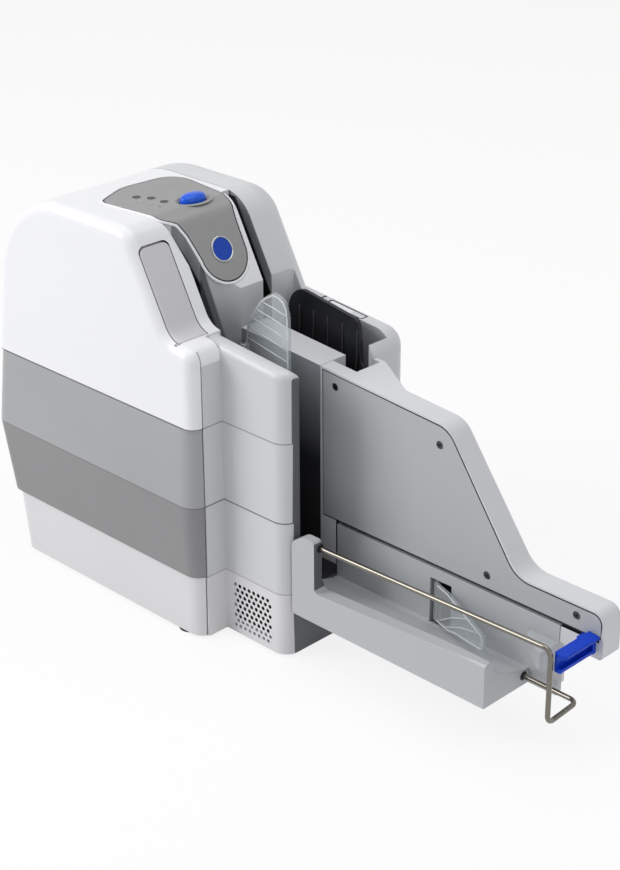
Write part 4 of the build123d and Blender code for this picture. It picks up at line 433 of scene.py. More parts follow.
# Each joint line: strength, axis, place, half width and where along X it begins, if it does.
FRONT_JOINT = ("Y", 7.5, 0.28, -3.0)
COVER_LINES = ((0.9, "Z", SEAM_Z, 0.5), (0.85, *FRONT_JOINT))
BAND_LINES = ((0.9, "Z", SEAM_Z, 0.4), (0.45, "Z", CREASE_Z, 0.35), (0.5, "Z", BASE_TOP_Z, 0.3),
              (0.85, *FRONT_JOINT))
BASE_LINES = ((0.55, "Z", BASE_TOP_Z, 0.35), (0.8, *FRONT_JOINT))
MIDDLE_LINES = ((0.6, "Z", SEAM_Z, 0.35), (0.85, "Z", CREASE_Z, 0.4), (0.35, "Z", BASE_TOP_Z, 0.3))

MATERIALS = {
    "white_gloss": moulded("white_gloss", "EDEDEF", 0.30, 0.05, coat=0.25, vary=0.004, edge=0.5,
                           wear_and_highlight=1.0, smudge=0.01, lines=COVER_LINES),
    "band_grey": moulded("band_grey", "A2A3A4", 0.40, 0.30, edge=0.5, lines=BAND_LINES),
    "band_low": moulded("band_low", "888687", 0.40, 0.30, edge=0.5, lines=BAND_LINES),
    "base_grey": moulded("base_grey", "D9D7D8", 0.42, 0.25, vary=0.012, wear_and_highlight=1.08,
                         lines=BASE_LINES),
    "body_grey": moulded("body_grey", "D2D3D5", 0.38, 0.22, vary=0.012, wear_and_highlight=1.12),
    "middle_grey": moulded("middle_grey", "CDCED0", 0.38, 0.22, vary=0.012, wear_and_highlight=1.1,
                           lines=MIDDLE_LINES),
    # Painted shade: the tray and the insert are the body's light grey, painted darker here.
    "tray_grey_painted_shade": moulded("tray_grey_painted_shade", "B6B8BA", 0.38, 0.22, vary=0.015, wear_and_highlight=1.2),
    "insert_grey_painted_shade": moulded("insert_grey_painted_shade", "B0B2B4", 0.36, 0.25, vary=0.015, wear_and_highlight=1.2),
    "door_grey": moulded("door_grey", "CFCDCE", 0.40, 0.20, vary=0.01, wear_and_highlight=1.1),
    "panel_metallic": moulded("panel_metallic", "969695", 0.34, 0.35, metal=0.25, fine=3800.0,
                              edge=0.3),
    "button_blue": moulded("button_blue", "0A58DA", 0.16, 0.03, coat=0.15, edge=0.2, shine=0.25),
    "stop_blue": moulded("stop_blue", "083EC0", 0.36, 0.12, wear_and_highlight=1.8, shine=0.2),
    "badge_blue": moulded("badge_blue", "1646AE", 0.30, 0.05, edge=0.2, shine=0.25),
    "lens_dark": moulded("lens_dark", "2E2F31", 0.3, 0.05, edge=0.2, shine=0.3),
    "black_plastic": moulded("black_plastic", "17181A", 0.45, 0.35),
    "paddle_black": moulded("paddle_black", "16171A", 0.38, 0.30, wear_and_highlight=2.6, shine=0.3),
    "clear_plastic": clear_plastic("clear_plastic", "DDE1E3", 0.10, 0.70),
    # Painted highlight: the flags' ribs and edges are whiter and less see-through than the flag.
    "clear_rib": clear_plastic("clear_rib", "F2F5F6", 0.50, 0.95),
    "steel_wire": brushed("steel_wire", "7C7871", 0.18, (0.05, 1.0, 1.0)),
    "steel": brushed("steel", "B4B6B8", 0.28, (1.0, 1.0, 0.1)),
    "screw_steel": brushed("screw_steel", "55575A", 0.32, (1.0, 0.2, 1.0)),
    "rubber_black": moulded("rubber_black", "1A1A1B", 0.75, 0.5),
    "motor_metal": brushed("motor_metal", "8F9193", 0.35, (1.0, 1.0, 0.1)),
    "board_green": moulded("board_green", "1E5B34", 0.4, 0.3),
    "sensor_black": moulded("sensor_black", "222326", 0.35, 0.2),
    "slot_grey": moulded("slot_grey", "5C5E62", 0.45, 0.30),
    "deep_grey": moulded("deep_grey", "222326", 0.50, 0.30),
    "pocket_painted_shade": matt_wall("pocket_painted_shade", pocket_shade),
    "slot_wall_painted_shade": matt_wall("slot_wall_painted_shade", slot_shade),
    "tongue_painted_shade": matt_wall("tongue_painted_shade", tongue_shade),
}


# ---------------------------------------------------------------------------
# Piece helpers
# ---------------------------------------------------------------------------
def piece(name, points, faces, material, body="housing", smooth=True):
    """New mesh piece from design points, riding on a body."""
    mesh = bpy.data.meshes.new(name)
    mesh.from_pydata([at(*point) for point in points], [], faces)
    shape = bmesh.new()
    shape.from_mesh(mesh)
    bmesh.ops.recalc_face_normals(shape, faces=shape.faces)
    shape.to_mesh(mesh)
    shape.free()
    for polygon in mesh.polygons:
        polygon.use_smooth = smooth
    obj = bpy.data.objects.new(name, mesh)
    bpy.context.scene.collection.objects.link(obj)
    obj.data.materials.append(MATERIALS[material])
    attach(obj, body)
    return obj


def creased(obj, angle=35.0):
    """Keeps edges sharper than an angle crisp in a smooth-shaded piece."""
    obj.data.set_sharp_from_angle(angle=math.radians(angle))
    return obj


def sweep(frames, section, closed=False):
    """Points and faces of a section carried along frames of place, out and up."""
    points = [place + out * a + up * h for place, out, up in frames for a, h in section]
    count = len(section)
    faces = []
    for i in range(len(frames) if closed else len(frames) - 1):
        following = (i + 1) % len(frames)
        for k in range(count):
            beside = (k + 1) % count
            faces.append((i * count + k, i * count + beside,
                          following * count + beside, following * count + k))
    if not closed:
        last = (len(frames) - 1) * count
        faces.append(tuple(range(count)))
        faces.append(tuple(last + k for k in range(count)))
    return points, faces


def lathe(rings, sides, stretch=(1.0, 1.0)):
    """Points and faces of a closed turned form round +Z from (radius, height) rings."""
    points = []
    for radius, height in rings:
        for i in range(sides):
            turn = math.tau * i / sides
            points.append(Vector((radius * stretch[0] * math.cos(turn),
                                  radius * stretch[1] * math.sin(turn), height)))
    faces = []
    for row in range(len(rings) - 1):
        for i in range(sides):
            beside = (i + 1) % sides
            faces.append((row * sides + i, row * sides + beside,
                          (row + 1) * sides + beside, (row + 1) * sides + i))
    faces.append(tuple(range(sides)))
    faces.append(tuple((len(rings) - 1) * sides + i for i in range(sides)))
    return points, faces


def plan_frames(spots, side):
    """Frames along a closed level loop, out to the left of its run (side 1) or right (-1)."""
    frames = []
    for i, spot in enumerate(spots):
        run = (spots[(i + 1) % len(spots)] - spots[i - 1]).normalized()
        frames.append((spot, Vector((-run.y, run.x, 0)) * side, Vector((0, 0, 1))))
    return frames


def prism_faces(count):
    """Faces of a closed form between two rings of the same number of points."""
    sides = [(i, (i + 1) % count, count + (i + 1) % count, count + i) for i in range(count)]
    return sides + [tuple(range(count)), tuple(count + i for i in range(count))]


# ---------------------------------------------------------------------------
# Control panel: raised rim, button, badge rim and lamp marks
# ---------------------------------------------------------------------------
COVER_EDGE_Y = 86.1          # where the white cover ends behind the right slot
SLOT_EDGE_Y = 79.4           # where it ends beside the right slot
RIGHT_SLOT_X = -60.5
SKIN_TOLERANCE = 0.1
SKIN_FACING = 0.8
WELD = 1e-6
PANEL_STEP = 0.5

# Sections of strips are (out, up) pairs in millimetres.
PANEL_JOINT = ((-0.05, -0.2), (-0.05, 0.03), (0.85, 0.03), (0.85, -0.2))
PANEL_LIP = ((0.8, -0.2), (0.85, 0.25), (1.1, 0.42), (1.6, 0.45), (2.1, 0.3), (2.5, 0.0),
             (2.5, -0.2))


def cover_frame(point):
    """Foot of a point on the hump's skin, and the skin's normal there."""
    if point.x <= ARC_START_X:
        return Vector((point.x, point.y, HUMP_TOP_Z)), Vector((0, 0, 1))
    centre = Vector((ARC_START_X, point.y, ARC_CENTRE_Z))
    spoke = (point - centre).normalized()
    if math.atan2(spoke.x, spoke.z) <= math.atan2(SLOPE_NORMAL.x, SLOPE_NORMAL.z):
        return centre + spoke * ARC_RADIUS, spoke
    height = (point - SLOPE_POINT).dot(SLOPE_NORMAL)
    return point - SLOPE_NORMAL * height, SLOPE_NORMAL.copy()


def on_panel_face(middle, face_normal):
    """Whether a face of the control panel lies in its outer skin."""
    foot, normal = cover_frame(middle)
    return (middle - foot).dot(normal) > -SKIN_TOLERANCE and face_normal.dot(normal) > SKIN_FACING


def face_outline(node, belongs):
    """Longest outline of the faces of a CAD node that belong to one skin, in order."""
    shape = bmesh.new()
    shape.from_mesh(NODES[node].data)
    bmesh.ops.remove_doubles(shape, verts=shape.verts, dist=WELD)
    outer = {face for face in shape.faces
             if belongs(design(face.calc_center_median()), face.normal)}
    border = [edge for edge in shape.edges if sum(face in outer for face in edge.link_faces) == 1]
    links = {}
    for edge in border:
        for here, there in (edge.verts, reversed(edge.verts)):
            links.setdefault(here, []).append(there)
    loops = []
    while links:
        start = next(iter(links))
        loop, here = [start], start
        while True:
            ahead = [v for v in links.pop(here) if v in links]
            if not ahead:
                break
            here = ahead[0]
            loop.append(here)
        loops.append([design(v.co) for v in loop])
    shape.free()
    return max(loops, key=lambda loop: sum((a - b).length for a, b in zip(loop, loop[1:])))


def thinned(loop, step):
    """The loop's points, none nearer than a step to the one before."""
    kept = [loop[0]]
    for point in loop[1:]:
        if (point - kept[-1]).length >= step:
            kept.append(point)
    return kept


def edge_frames(loop, skin):
    """Place, outward direction and normal along a loop; skin gives a point's foot and normal."""
    middle = sum(loop, Vector()) / len(loop)
    area = sum((a - middle).cross(b - middle).dot(skin(a)[1])
               for a, b in zip(loop, loop[1:] + loop[:1]))
    frames = []
    for i, point in enumerate(loop):
        foot, normal = skin(point)
        tangent = (loop[(i + 1) % len(loop)] - loop[i - 1]).normalized()
        frames.append((foot, tangent.cross(normal).normalized() * math.copysign(1.0, area), normal))
    return frames


def rim_strip(name, section, material):
    """Strip on the cover's skin along the panel's outline."""
    loop = thinned(face_outline("control_panel", on_panel_face), PANEL_STEP)
    points, faces = sweep(edge_frames(loop, cover_frame), section, closed=True)
    for i, point in enumerate(points):
        height = section[i % len(section)][1]
        limit = SLOT_EDGE_Y if point.x > RIGHT_SLOT_X else COVER_EDGE_Y
        foot, normal = cover_frame(Vector((point.x, min(point.y, limit), point.z)))
        points[i] = foot + normal * height
    return piece(name, points, faces, material)


def make_panel_rim():
    """Black joint round the panel and the pale raised lip of the cover outside it."""
    rim_strip("panel_joint", PANEL_JOINT, "black_plastic")
    rim_strip("panel_lip", PANEL_LIP, "white_gloss")


BUTTON_AT = Vector((-61.5, 60.5, 0.0))
BUTTON_HALF = (5.3, 8.6)
BUTTON_SIDES = 64
DISH_SIDES = 72
# Shares of the button's half widths, each with its height.
BUTTON_RINGS = ((0.97, 228.6), (1.1, 228.6), (1.1, 230.0), (1.0, 230.0), (1.0, 234.2),
                (0.995, 235.0), (0.97, 235.9), (0.92, 236.6), (0.84, 237.2), (0.72, 237.7),
                (0.56, 238.05), (0.36, 238.22), (0.15, 238.3))
DISH_STEPS = ((0.45, 231.0), (0.45, 233.3), (0.9, 233.7), (1.6, 234.1), (2.4, 234.6), (2.8, 234.85),
              (3.3, 234.9), (4.0, 234.7), (4.4, 234.55), (4.4, 234.2), (1.6, 233.2), (0.9, 231.0))


def make_button():
    """Smooth domed button in place of the CAD's tapered cap, and the dish it sits in."""
    points, faces = lathe(BUTTON_RINGS, BUTTON_SIDES, BUTTON_HALF)
    button = piece("button_dome", [p + BUTTON_AT for p in points], faces, "button_blue",
                   "button")
    creased(button, 50.0)
    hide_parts("power_button")
    frames = []
    for i in range(DISH_SIDES):
        turn = math.tau * i / DISH_SIDES
        spoke = Vector((math.cos(turn) * BUTTON_HALF[0], math.sin(turn) * BUTTON_HALF[1], 0))
        out = Vector((spoke.x / BUTTON_HALF[0] ** 2, spoke.y / BUTTON_HALF[1] ** 2, 0)).normalized()
        frames.append((BUTTON_AT + spoke, out, Vector((0, 0, 1))))
    points, faces = sweep(frames, DISH_STEPS, closed=True)
    creased(piece("button_dish", points, faces, "panel_metallic"), 50.0)


def ring_frames(place, normal, across, radius, sides=48):
    """Frames round a circle about a normal."""
    other = normal.cross(across)
    frames = []
    for i in range(sides):
        turn = math.tau * i / sides
        out = across * math.cos(turn) + other * math.sin(turn)
        frames.append((place + out * radius, out, normal))
    return frames


BADGE_RUN = 26.0             # how far down the slope the badge sits
BADGE_Y = 59.5
BADGE_RADIUS = 7.25
BADGE_PROUD = 0.3
BADGE_SECTION = ((-0.75, -0.1), (-0.65, 0.3), (-0.2, 0.5), (0.35, 0.35), (0.5, -0.1))


def make_badge_rim():
    """Pale metal rim round the plain blue disc."""
    place = (SLOPE_POINT + Vector((0, BADGE_Y, 0)) + SLOPE_RUN * BADGE_RUN
             + SLOPE_NORMAL * BADGE_PROUD)
    frames = ring_frames(place, SLOPE_NORMAL, Vector((0, 1, 0)), BADGE_RADIUS)
    points, faces = sweep(frames, BADGE_SECTION, closed=True)
    piece("badge_rim", points, faces, "steel")


LIGHTS = ((-86.9, 41.0), (-79.7, 45.6), (-70.0, 46.7))
MARK_Z = HUMP_TOP_Z + 0.33
MARK_WIDTH = 0.4
RING_WIDTH = 0.45
RING_RADIUS = 1.3
RING_SIDES = 20
RING_FROM_LIGHT = (7, -5)
BAR_FROM_LIGHT = ((5.6, -7.2), (8.0, -7.2), (8.0, -5.4), (5.6, -5.4))
WEDGE_FROM_LIGHT = ((3.0, -8.2), (5.6, -7.0), (3.0, -5.8))


def flat_strip(name, corners, width):
    """Thin closed white line with a low crown through plan points of the hump's top."""
    half = width / 2
    section = ((-half, -0.06), (-half, 0.04), (0, 0.08), (half, 0.04), (half, -0.06))
    spots = [Vector((x, y, MARK_Z)) for x, y in corners]
    points, faces = sweep(plan_frames(spots, 1), section, closed=True)
    return piece(name, points, faces, "white_gloss")


def make_light_marks():
    """Small plain signs beside the three status lights: a ring, a bar and a wedge."""
    turns = [math.tau * i / RING_SIDES for i in range(RING_SIDES)]
    across, down = RING_FROM_LIGHT
    ring = [(across + RING_RADIUS * math.cos(turn), down + RING_RADIUS * math.sin(turn))
            for turn in turns]
    marks = (("mark_ring", ring, RING_WIDTH), ("mark_bar", BAR_FROM_LIGHT, MARK_WIDTH),
             ("mark_wedge", WEDGE_FROM_LIGHT, MARK_WIDTH))
    for (x, y), (name, corners, width) in zip(LIGHTS, marks):
        flat_strip(name, [(x + a, y + b) for a, b in corners], width)


# ---------------------------------------------------------------------------
# Screws, holes and small trim
# ---------------------------------------------------------------------------
SCREWS = ((46.9, 153.0), (122.5, 143.6), (157.1, 79.8), (215.8, 80.0))
SCREW_SIDES = 32
HEAD_RINGS = ((2.25, 0.0), (2.25, 0.55), (2.0, 0.85), (1.45, 1.0))
CROSS_ARM = 1.15
CROSS_HALF = 0.28
CROSS_TOP = 1.05
CROSS_FLOOR = 0.35
CROSS_TAPER = 0.8
WALL_Y = 62.3                # face of the extension's insert
HEAD_SUNK = 1.25             # how far the head's foot lies behind that face


def screw_head(x, z):
    """Low domed head with a cross recess, turned towards -Y."""
    points, faces = lathe(HEAD_RINGS, SCREW_SIDES)
    faces.pop()
    arm, half = CROSS_ARM, CROSS_HALF
    corner = ((arm, -half), (arm, half), (half, half))
    cross = []
    for c, s in ((1, 0), (0, 1), (-1, 0), (0, -1)):
        cross += [(a * c - b * s, a * s + b * c) for a, b in corner]
    top = len(points)
    points += [Vector((a, b, CROSS_TOP)) for a, b in cross]
    points += [Vector((a * CROSS_TAPER, b * CROSS_TAPER, CROSS_FLOOR)) for a, b in cross]
    count = len(cross)
    faces += [(top + i, top + (i + 1) % count, top + count + (i + 1) % count, top + count + i)
              for i in range(count)]
    faces.append(tuple(top + count + i for i in range(count)))
    last = (len(HEAD_RINGS) - 1) * SCREW_SIDES
    ring = [(last + i, points[last + i]) for i in range(SCREW_SIDES)]
    faces += fan_between(ring, [(top + i, points[top + i]) for i in range(count)])
    return [Vector((x + p.x, WALL_Y + HEAD_SUNK - p.z, z + p.y)) for p in points], faces


def fan_between(outer, inner):
    """Triangles between two closed rings of numbered points about the same centre."""
    def turn(entry):
        return math.atan2(entry[1].y, entry[1].x) % math.tau
    outer = sorted(outer, key=turn)
    inner = sorted(inner, key=turn)
    faces = []
    i = j = 0
    while i < len(outer) or j < len(inner):
        next_out = turn(outer[i % len(outer)]) + (math.tau if i >= len(outer) else 0)
        next_in = turn(inner[j % len(inner)]) + (math.tau if j >= len(inner) else 0)
        here, there = outer[i - 1][0], inner[j - 1][0]
        if j >= len(inner) or (i < len(outer) and next_out <= next_in):
            faces.append((here, outer[i][0], there))
            i += 1
        else:
            faces.append((here, inner[j][0], there))
            j += 1
    return faces


def make_screws():
    """Detailed heads in place of the CAD's plain screws."""
    points, faces = [], []
    for x, z in SCREWS:
        more, rows = screw_head(x, z)
        faces += [tuple(i + len(points) for i in row) for row in rows]
        points += more
    heads = piece("screw_heads", points, faces, "screw_steel")
    creased(heads, 30.0)
    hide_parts("panel_screws")


INSERT_BACK_Y = 63.0
INSERT_STEP = 0.4
INSERT_LINE = ((-0.1, -0.2), (-0.1, 0.03), (0.75, 0.03), (0.75, -0.2))
TOWARDS_TRAY = Vector((0, -1, 0))


def make_insert_line():
    """Dark joint line round the extension's insert."""
    loop = face_outline("panel_insert", lambda p, n: n.y < -0.9 and p.y < INSERT_BACK_Y)
    frames = edge_frames(thinned(loop, INSERT_STEP), lambda point: (point, TOWARDS_TRAY))
    points, faces = sweep(frames, INSERT_LINE, closed=True)
    piece("insert_line", points, faces, "deep_grey")


COLLARS = (("wire_collar_top", (66.0, 31.0, 73.4)), ("wire_collar_foot", (187.3, 58.2, 33.6)))
COLLAR_RADIUS = 1.5
COLLAR_SIDES = 28
COLLAR_SECTION = ((0, -0.1), (0, 0.25), (0.3, 0.4), (1.0, 0.35), (1.2, -0.1))


def make_grommets():
    """Black collars where the wire comes out of the post and the tray's end."""
    for name, place in COLLARS:
        frames = ring_frames(Vector(place), Vector((1, 0, 0)), Vector((0, 1, 0)), COLLAR_RADIUS,
                             COLLAR_SIDES)
        points, faces = sweep(frames, COLLAR_SECTION, closed=True)
        piece(name, points, faces, "black_plastic")


def rounded_loop(x, y, radius, steps=5):
    """Plan points of a rectangle with rounded corners."""
    loop = []
    for cx, cy, start in ((x[1] - radius, y[1] - radius, 0), (x[0] + radius, y[1] - radius, 90),
                          (x[0] + radius, y[0] + radius, 180), (x[1] - radius, y[0] + radius, 270)):
        for i in range(steps + 1):
            turn = math.radians(start + 90 * i / steps)
            loop.append((cx + radius * math.cos(turn), cy + radius * math.sin(turn)))
    return loop


SHELF_Z = 176.0              # height of the right arm's sloping top at x 0
SHELF_FALL = 0.09
LABEL_X = (-2.6, 25.6)
LABEL_Y = (105.4, 111.6)
LABEL_ROUND = 1.0
LABEL_DEPTHS = (-0.45, -0.12)
LABEL_LINE = ((-0.95, -0.2), (-0.95, 0.05), (-0.1, 0.05), (-0.1, -0.2))
ARM_SLOT_X = (-8.8, -7.5)
ARM_SLOT_Y = (108.2, 112.4)
ARM_SLOT_ROUND = 0.5
ARM_SLOT_DEPTHS = (-0.15, 0.04)


def on_shelf(points):
    """Points with heights above the right arm's sloping top, moved on to it."""
    return [Vector((p.x, p.y, SHELF_Z - SHELF_FALL * p.x + p.z)) for p in points]


def shelf_plate(name, loop, depths, material):
    """Flat plate on the right arm between two depths."""
    points = [Vector((x, y, z)) for z in depths for x, y in loop]
    creased(piece(name, on_shelf(points), prism_faces(len(loop)), material))


def make_label():
    """Blank label plate with a dark outline in its shallow recess on the right arm."""
    loop = rounded_loop(LABEL_X, LABEL_Y, LABEL_ROUND)
    shelf_plate("label_plate", loop, LABEL_DEPTHS, "white_gloss")
    frames = plan_frames([Vector((x, y, 0)) for x, y in loop], -1)
    points, faces = sweep(frames, LABEL_LINE, closed=True)
    piece("label_line", on_shelf(points), faces, "deep_grey")


def make_arm_slot():
    """Short black slot mark beside the label."""
    loop = rounded_loop(ARM_SLOT_X, ARM_SLOT_Y, ARM_SLOT_ROUND)
    shelf_plate("arm_slot", loop, ARM_SLOT_DEPTHS, "black_plastic")


# ---------------------------------------------------------------------------
# Ribs of the clear flags and of the paddle
# ---------------------------------------------------------------------------
def upright_frames(stops, place, angle, across):
    """Frames along (s, z) stops in an upright plane through a place, turned by an angle."""
    turn = math.radians(angle)
    run = Vector((math.cos(turn), math.sin(turn), 0))
    side = Vector((-run.y, run.x, 0)) * across
    spots = [Vector(place) + run * s + Vector((0, 0, z)) for s, z in stops]
    frames = []
    for i, spot in enumerate(spots):
        rise = (spots[min(i + 1, len(spots) - 1)] - spots[max(i - 1, 0)]).normalized()
        frames.append((spot, rise.cross(side).normalized(), side))
    return frames


def clear_rib(name, stops, hinge, offset, width, body):
    """Low rounded rib on one side of a clear upright flag."""
    frames = [(spot + side * abs(offset), out, side)
              for spot, out, side in upright_frames(stops, *hinge, math.copysign(1, offset))]
    half = width / 2
    section = ((-half, -0.15), (-half * 0.8, 0.2), (0, 0.32), (half * 0.8, 0.2), (half, -0.15))
    points, faces = sweep(frames, section)
    return piece(name, points, faces, "clear_rib", body)


# Place of each flag's pin and the flag's direction from it at rest.
FLAG_HINGE = ((-22.0, 60.0, 0.0), -math.degrees(math.atan2(14.0, 44.0)))
FLAG_FACE = -0.8
FLAG_EDGE_WIDTH = 1.1
FLAG_RIBS = (
    ((26.5, 193.4), (40.0, 194.6), (54.0, 195.2)),
    ((19.5, 186.6), (36.0, 187.8), (55.4, 188.8)),
    ((13.6, 179.6), (32.0, 180.8), (55.6, 182.2)),
    ((8.4, 172.6), (28.0, 173.8), (55.6, 175.6)),
    ((8.0, 165.6), (26.0, 166.8), (55.6, 169.0)),
)
FLAG_EDGE = ((4.9, 156.5), (6.0, 164.0), (7.6, 172.0), (12.5, 179.6), (18.5, 186.6),
             (25.2, 193.4), (32.0, 197.8), (39.4, 201.6), (46.0, 202.4), (51.6, 201.6),
             (54.6, 198.6), (55.8, 193.0), (56.1, 182.0), (56.1, 150.0), (56.1, 130.0))
TRAY_FLAG_HINGE = ((122.0, 64.2, 0.0), -math.degrees(math.atan2(15.8, 48.0)))
TRAY_FLAG_FACE = -2.0
TRAY_FLAG_EDGE_WIDTH = 1.0
TRAY_FLAG_EDGE = ((3.0, 60.8), (14.0, 60.8), (30.0, 57.4), (48.0, 53.6), (49.6, 50.0),
                  (48.5, 45.8), (36.0, 43.6), (24.0, 42.0), (14.5, 39.4), (3.0, 39.3))
TRAY_FLAG_RIBS = (
    ((6.0, 41.0), (20.0, 50.0), (33.0, 56.0)),
    ((12.0, 40.0), (28.0, 48.0), (44.0, 53.4)),
)
FLAG_RIB_WIDTH = 0.9


def rib_flag(name, ribs, edge, edge_width, hinge, face, body):
    """Raised edge and ribs on a clear flag, in a whiter, less clear material as a painted
    highlight.
    """
    for i, stops in enumerate(ribs):
        clear_rib(f"{name}_rib_{i}", stops, hinge, face, FLAG_RIB_WIDTH, body)
    clear_rib(f"{name}_edge", edge, hinge, face, edge_width, body)


PADDLE_PLACE = Vector((50.5, 87.0, 0.0))
PADDLE_TURN = math.atan2(8.5, 74.5)
PADDLE_LENGTH = 75.0
LEAN_Z = 150.0
PADDLE_TOP_Z = 184.0
PADDLE_LEAN = 5.0


def paddle_point(x, y, z):
    """A point of the paddle's own plane, leaned above its bend and turned to rest."""
    lean = PADDLE_LEAN * max(0.0, z - LEAN_Z) / (PADDLE_TOP_Z - LEAN_Z)
    c, s = math.cos(-PADDLE_TURN), math.sin(-PADDLE_TURN)
    y += lean
    return PADDLE_PLACE + Vector((x * c - y * s, x * s + y * c, z))


PADDLE_SKIN = -1.2
PADDLE_RIBS = 5
PADDLE_RIB_START = 13.0
PADDLE_RIB_PITCH = 12.7
PADDLE_RIB_BOW = 0.006       # how fast a rib curves back above the bend
PADDLE_RIB_FADE = 0.85
PADDLE_RIB_HEIGHTS = (149.5, 154.0, 158.5, 163.0, 167.0, 171.0, 174.5)
PADDLE_RIB_SECTION = ((-0.45, -0.3), (-0.4, 1.5), (0, 1.7), (0.4, 1.5), (0.45, -0.3))
CROSS_RIB_STOPS = (-73.0, -50.0, -25.0, -6.0)
CROSS_RIB_SECTION = ((-0.7, -0.3), (-0.6, 0.9), (0.6, 0.9), (0.7, -0.3))


def paddle_rib(name, frames, section):
    """Black rib on the paddle's face."""
    points, faces = sweep(frames, section)
    piece(name, points, faces, "black_plastic", "hopper_paddle")


def make_paddle_ribs():
    """Curved ribs up the leaning part of the paddle, and a cross rib at its bend."""
    out = paddle_point(0, -1, 0) - paddle_point(0, 0, 0)
    run = paddle_point(1, 0, 0) - paddle_point(0, 0, 0)
    last = len(PADDLE_RIB_HEIGHTS) - 1
    for i in range(PADDLE_RIBS):
        x = -PADDLE_LENGTH + PADDLE_RIB_START + PADDLE_RIB_PITCH * i
        frames = [(paddle_point(x - PADDLE_RIB_BOW * (z - LEAN_Z) ** 2, PADDLE_SKIN, z), run,
                   out * (1 - PADDLE_RIB_FADE * k / last))
                  for k, z in enumerate(PADDLE_RIB_HEIGHTS)]
        paddle_rib(f"paddle_rib_{i}", frames, PADDLE_RIB_SECTION)
    frames = [(paddle_point(x, PADDLE_SKIN, LEAN_Z), Vector((0, 0, 1)), out)
              for x in CROSS_RIB_STOPS]
    paddle_rib("paddle_cross_rib", frames, CROSS_RIB_SECTION)


# ---------------------------------------------------------------------------
# Finishes and painted shade of the CAD nodes
# ---------------------------------------------------------------------------
NODE_FINISH_OR_SHADE = {
    "mid_top_shell": "middle_grey",
    "mid_upper_shell": "middle_grey",
    "mid_lower_shell": "middle_grey",
    "tray": "tray_grey_painted_shade",
    "panel_insert": "insert_grey_painted_shade",
    "paddle": "paddle_black",
}


ANY = (-math.inf, math.inf)
# Low and high x, y and z of the places of dark faces, most of them painted shade, in design
# millimetres.
SLOT_WALLS = ((-55.0, -25.5), (26.0, 79.0), (-math.inf, 232.0))
TONGUE_FRONT = ((-36.5, -25.5), (41.0, 79.7), ANY)
COVER_END = ((-60.2, math.inf), (79.0, 79.9), ANY)
DOOR_GAP = ((-51.0, math.inf), (4.0, 26.0), (174.0, math.inf))
SLOT_FAR_WALL = (ANY, (-math.inf, 88.0), ANY)
BAND_FOOT = (ANY, ANY, (-math.inf, CREASE_Z))
MIDDLE_END = ((48.0, math.inf), ANY, ANY)
VENT_HOLES = ((8.0, 45.0), (22.0, 25.0), (9.0, 34.0))
POCKET_WALL = (ANY, (-math.inf, 63.0), ANY)
INSERT_GROOVE = ((36.0, math.inf), (62.9, 64.3), ANY)
BEHIND_WINDOW = ((100.0, 160.0), (67.0, 75.0), (-math.inf, 75.0))
TRAY_ENTRY = ((60.0, 75.0), ANY, (40.0, math.inf))

FACING = 0.9                 # least part of a normal along the way that a face looks
SQUARE = 0.95                # the same, for flat faces without their rounded edges
EDGE_ON = 0.3                # most part of a normal along a way that a face stands across


def looks_anywhere(n):
    """Any face."""
    return True


def looks_to_tray(n):
    """Faces towards the exit tray."""
    return n.x > FACING


def is_square_end(n):
    """Flat ends towards the exit tray."""
    return n.x > SQUARE


def looks_left(n):
    """Faces towards the white side."""
    return n.y < -FACING


def looks_sideways(n):
    """Faces towards the left or the right."""
    return abs(n.y) > FACING


def is_edge_on(n):
    """Faces that stand across the front panels."""
    return abs(n.y) < EDGE_ON


def is_slot_side(n):
    """Upright faces that look more or less across the track."""
    return abs(n.z) < 0.35 and abs(n.y) > 0.5


def is_tongue_front(n):
    """Upright faces towards the tray, with their rounded edges."""
    return n.x > 0.85 and abs(n.z) < 0.2


def is_beside_door(n):
    """Faces of the door's opening that aren't part of the slope's skin."""
    return n.dot(SLOPE_NORMAL) < 0.5 and n.x < 0.6


def within(p, box):
    """Whether a point lies inside a box of low and high x, y and z."""
    return all(low < value < high for value, (low, high) in zip(p, box))
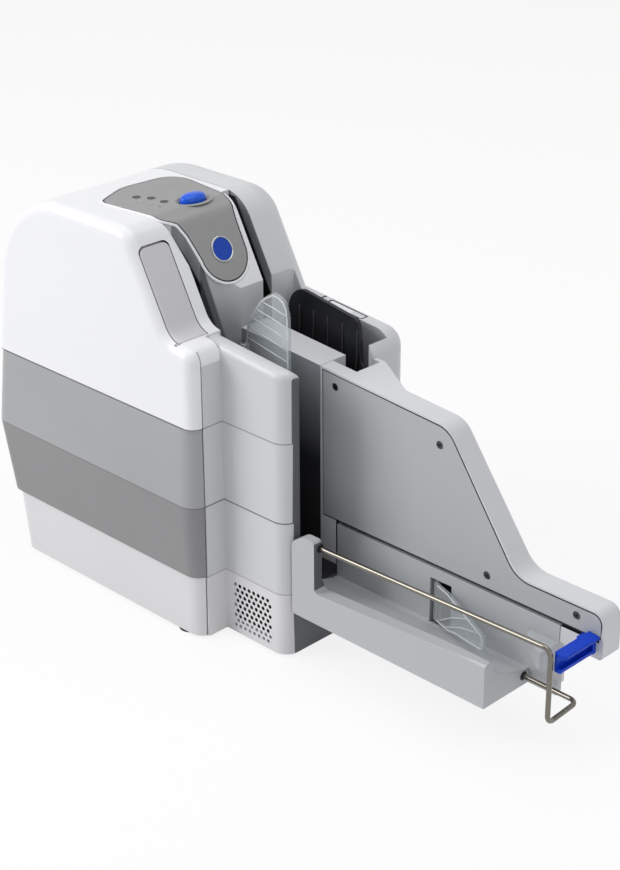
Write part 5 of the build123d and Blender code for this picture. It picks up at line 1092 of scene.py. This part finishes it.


# Finish or painted shade, place and direction of each node's faces that differ from its own
# finish; the last row that holds for a face counts.
OTHER_FACES = {
    "left_cover": (
        # Painted shade: the slot walls turn black with depth below the skin.
        ("slot_wall_painted_shade", SLOT_WALLS, is_slot_side),
        # Painted shade on the tongue's face towards the tray.
        ("tongue_painted_shade", TONGUE_FRONT, is_tongue_front),
        # Painted shade: the cover's wall beside the right slot is painted near black.
        ("deep_grey", COVER_END, looks_sideways),
        # Painted shade: the walls of the door's gap are painted near black.
        ("deep_grey", DOOR_GAP, is_beside_door),
    ),
    # Painted shade on the far wall of the right slot.
    "right_cover": (("slot_wall_painted_shade", SLOT_FAR_WALL, looks_left),),
    "left_band_shell": (("band_low", BAND_FOOT, looks_anywhere),),
    "right_band_shell": (("band_low", BAND_FOOT, looks_anywhere),),
    "mid_top_shell": (("slot_grey", MIDDLE_END, is_square_end),),
    "mid_upper_shell": (("slot_grey", MIDDLE_END, is_square_end),),
    "mid_lower_shell": (("slot_grey", MIDDLE_END, is_square_end),),
    "mid_base_shell": (
        ("slot_grey", MIDDLE_END, is_square_end),
        # Painted shade: the walls of the vent holes are painted near black.
        ("deep_grey", VENT_HOLES, is_edge_on),
    ),
    # Painted shade on the island's wall in the exit pocket.
    "island_block": (("pocket_painted_shade", POCKET_WALL, looks_left),),
    "extension_shell": (
        # Painted shade: the walls of the groove round the insert are painted near black.
        ("deep_grey", INSERT_GROOVE, is_edge_on),
        # Painted shade: the inner faces seen through the window are painted near black.
        ("deep_grey", BEHIND_WINDOW, looks_anywhere),
    ),
    # Painted shade: the tray's faces at its entry by the post are painted dark grey.
    "tray": (("slot_grey", TRAY_ENTRY, looks_to_tray),),
}


def dress_nodes():
    """Each CAD node takes its slot's worked material or a listed one; some faces another, mostly
    painted shade.
    """
    for name, obj in NODES.items():
        finish = NODE_FINISH_OR_SHADE.get(name, obj.data.materials[0].name)
        obj.data.materials.clear()
        obj.data.materials.append(MATERIALS[finish])
        for index, (other, box, looks) in enumerate(OTHER_FACES.get(name, ()), 1):
            obj.data.materials.append(MATERIALS[other])
            for face in obj.data.polygons:
                if within(design(face.center), box) and looks(face.normal):
                    face.material_index = index


make_camera()
make_world()
for lamp_row in LAMPS:
    make_lamp(*lamp_row)
make_floor()
dress_nodes()
make_panel_rim()
make_button()
make_badge_rim()
make_light_marks()
make_screws()
make_insert_line()
make_grommets()
make_label()
make_arm_slot()
rib_flag("flag", FLAG_RIBS, FLAG_EDGE, FLAG_EDGE_WIDTH, FLAG_HINGE, FLAG_FACE, "exit_flag")
rib_flag("tray_flag", TRAY_FLAG_RIBS, TRAY_FLAG_EDGE, TRAY_FLAG_EDGE_WIDTH, TRAY_FLAG_HINGE,
         TRAY_FLAG_FACE, "tray_flag")
make_paddle_ribs()

bpy.context.scene.view_settings.view_transform = "Standard"
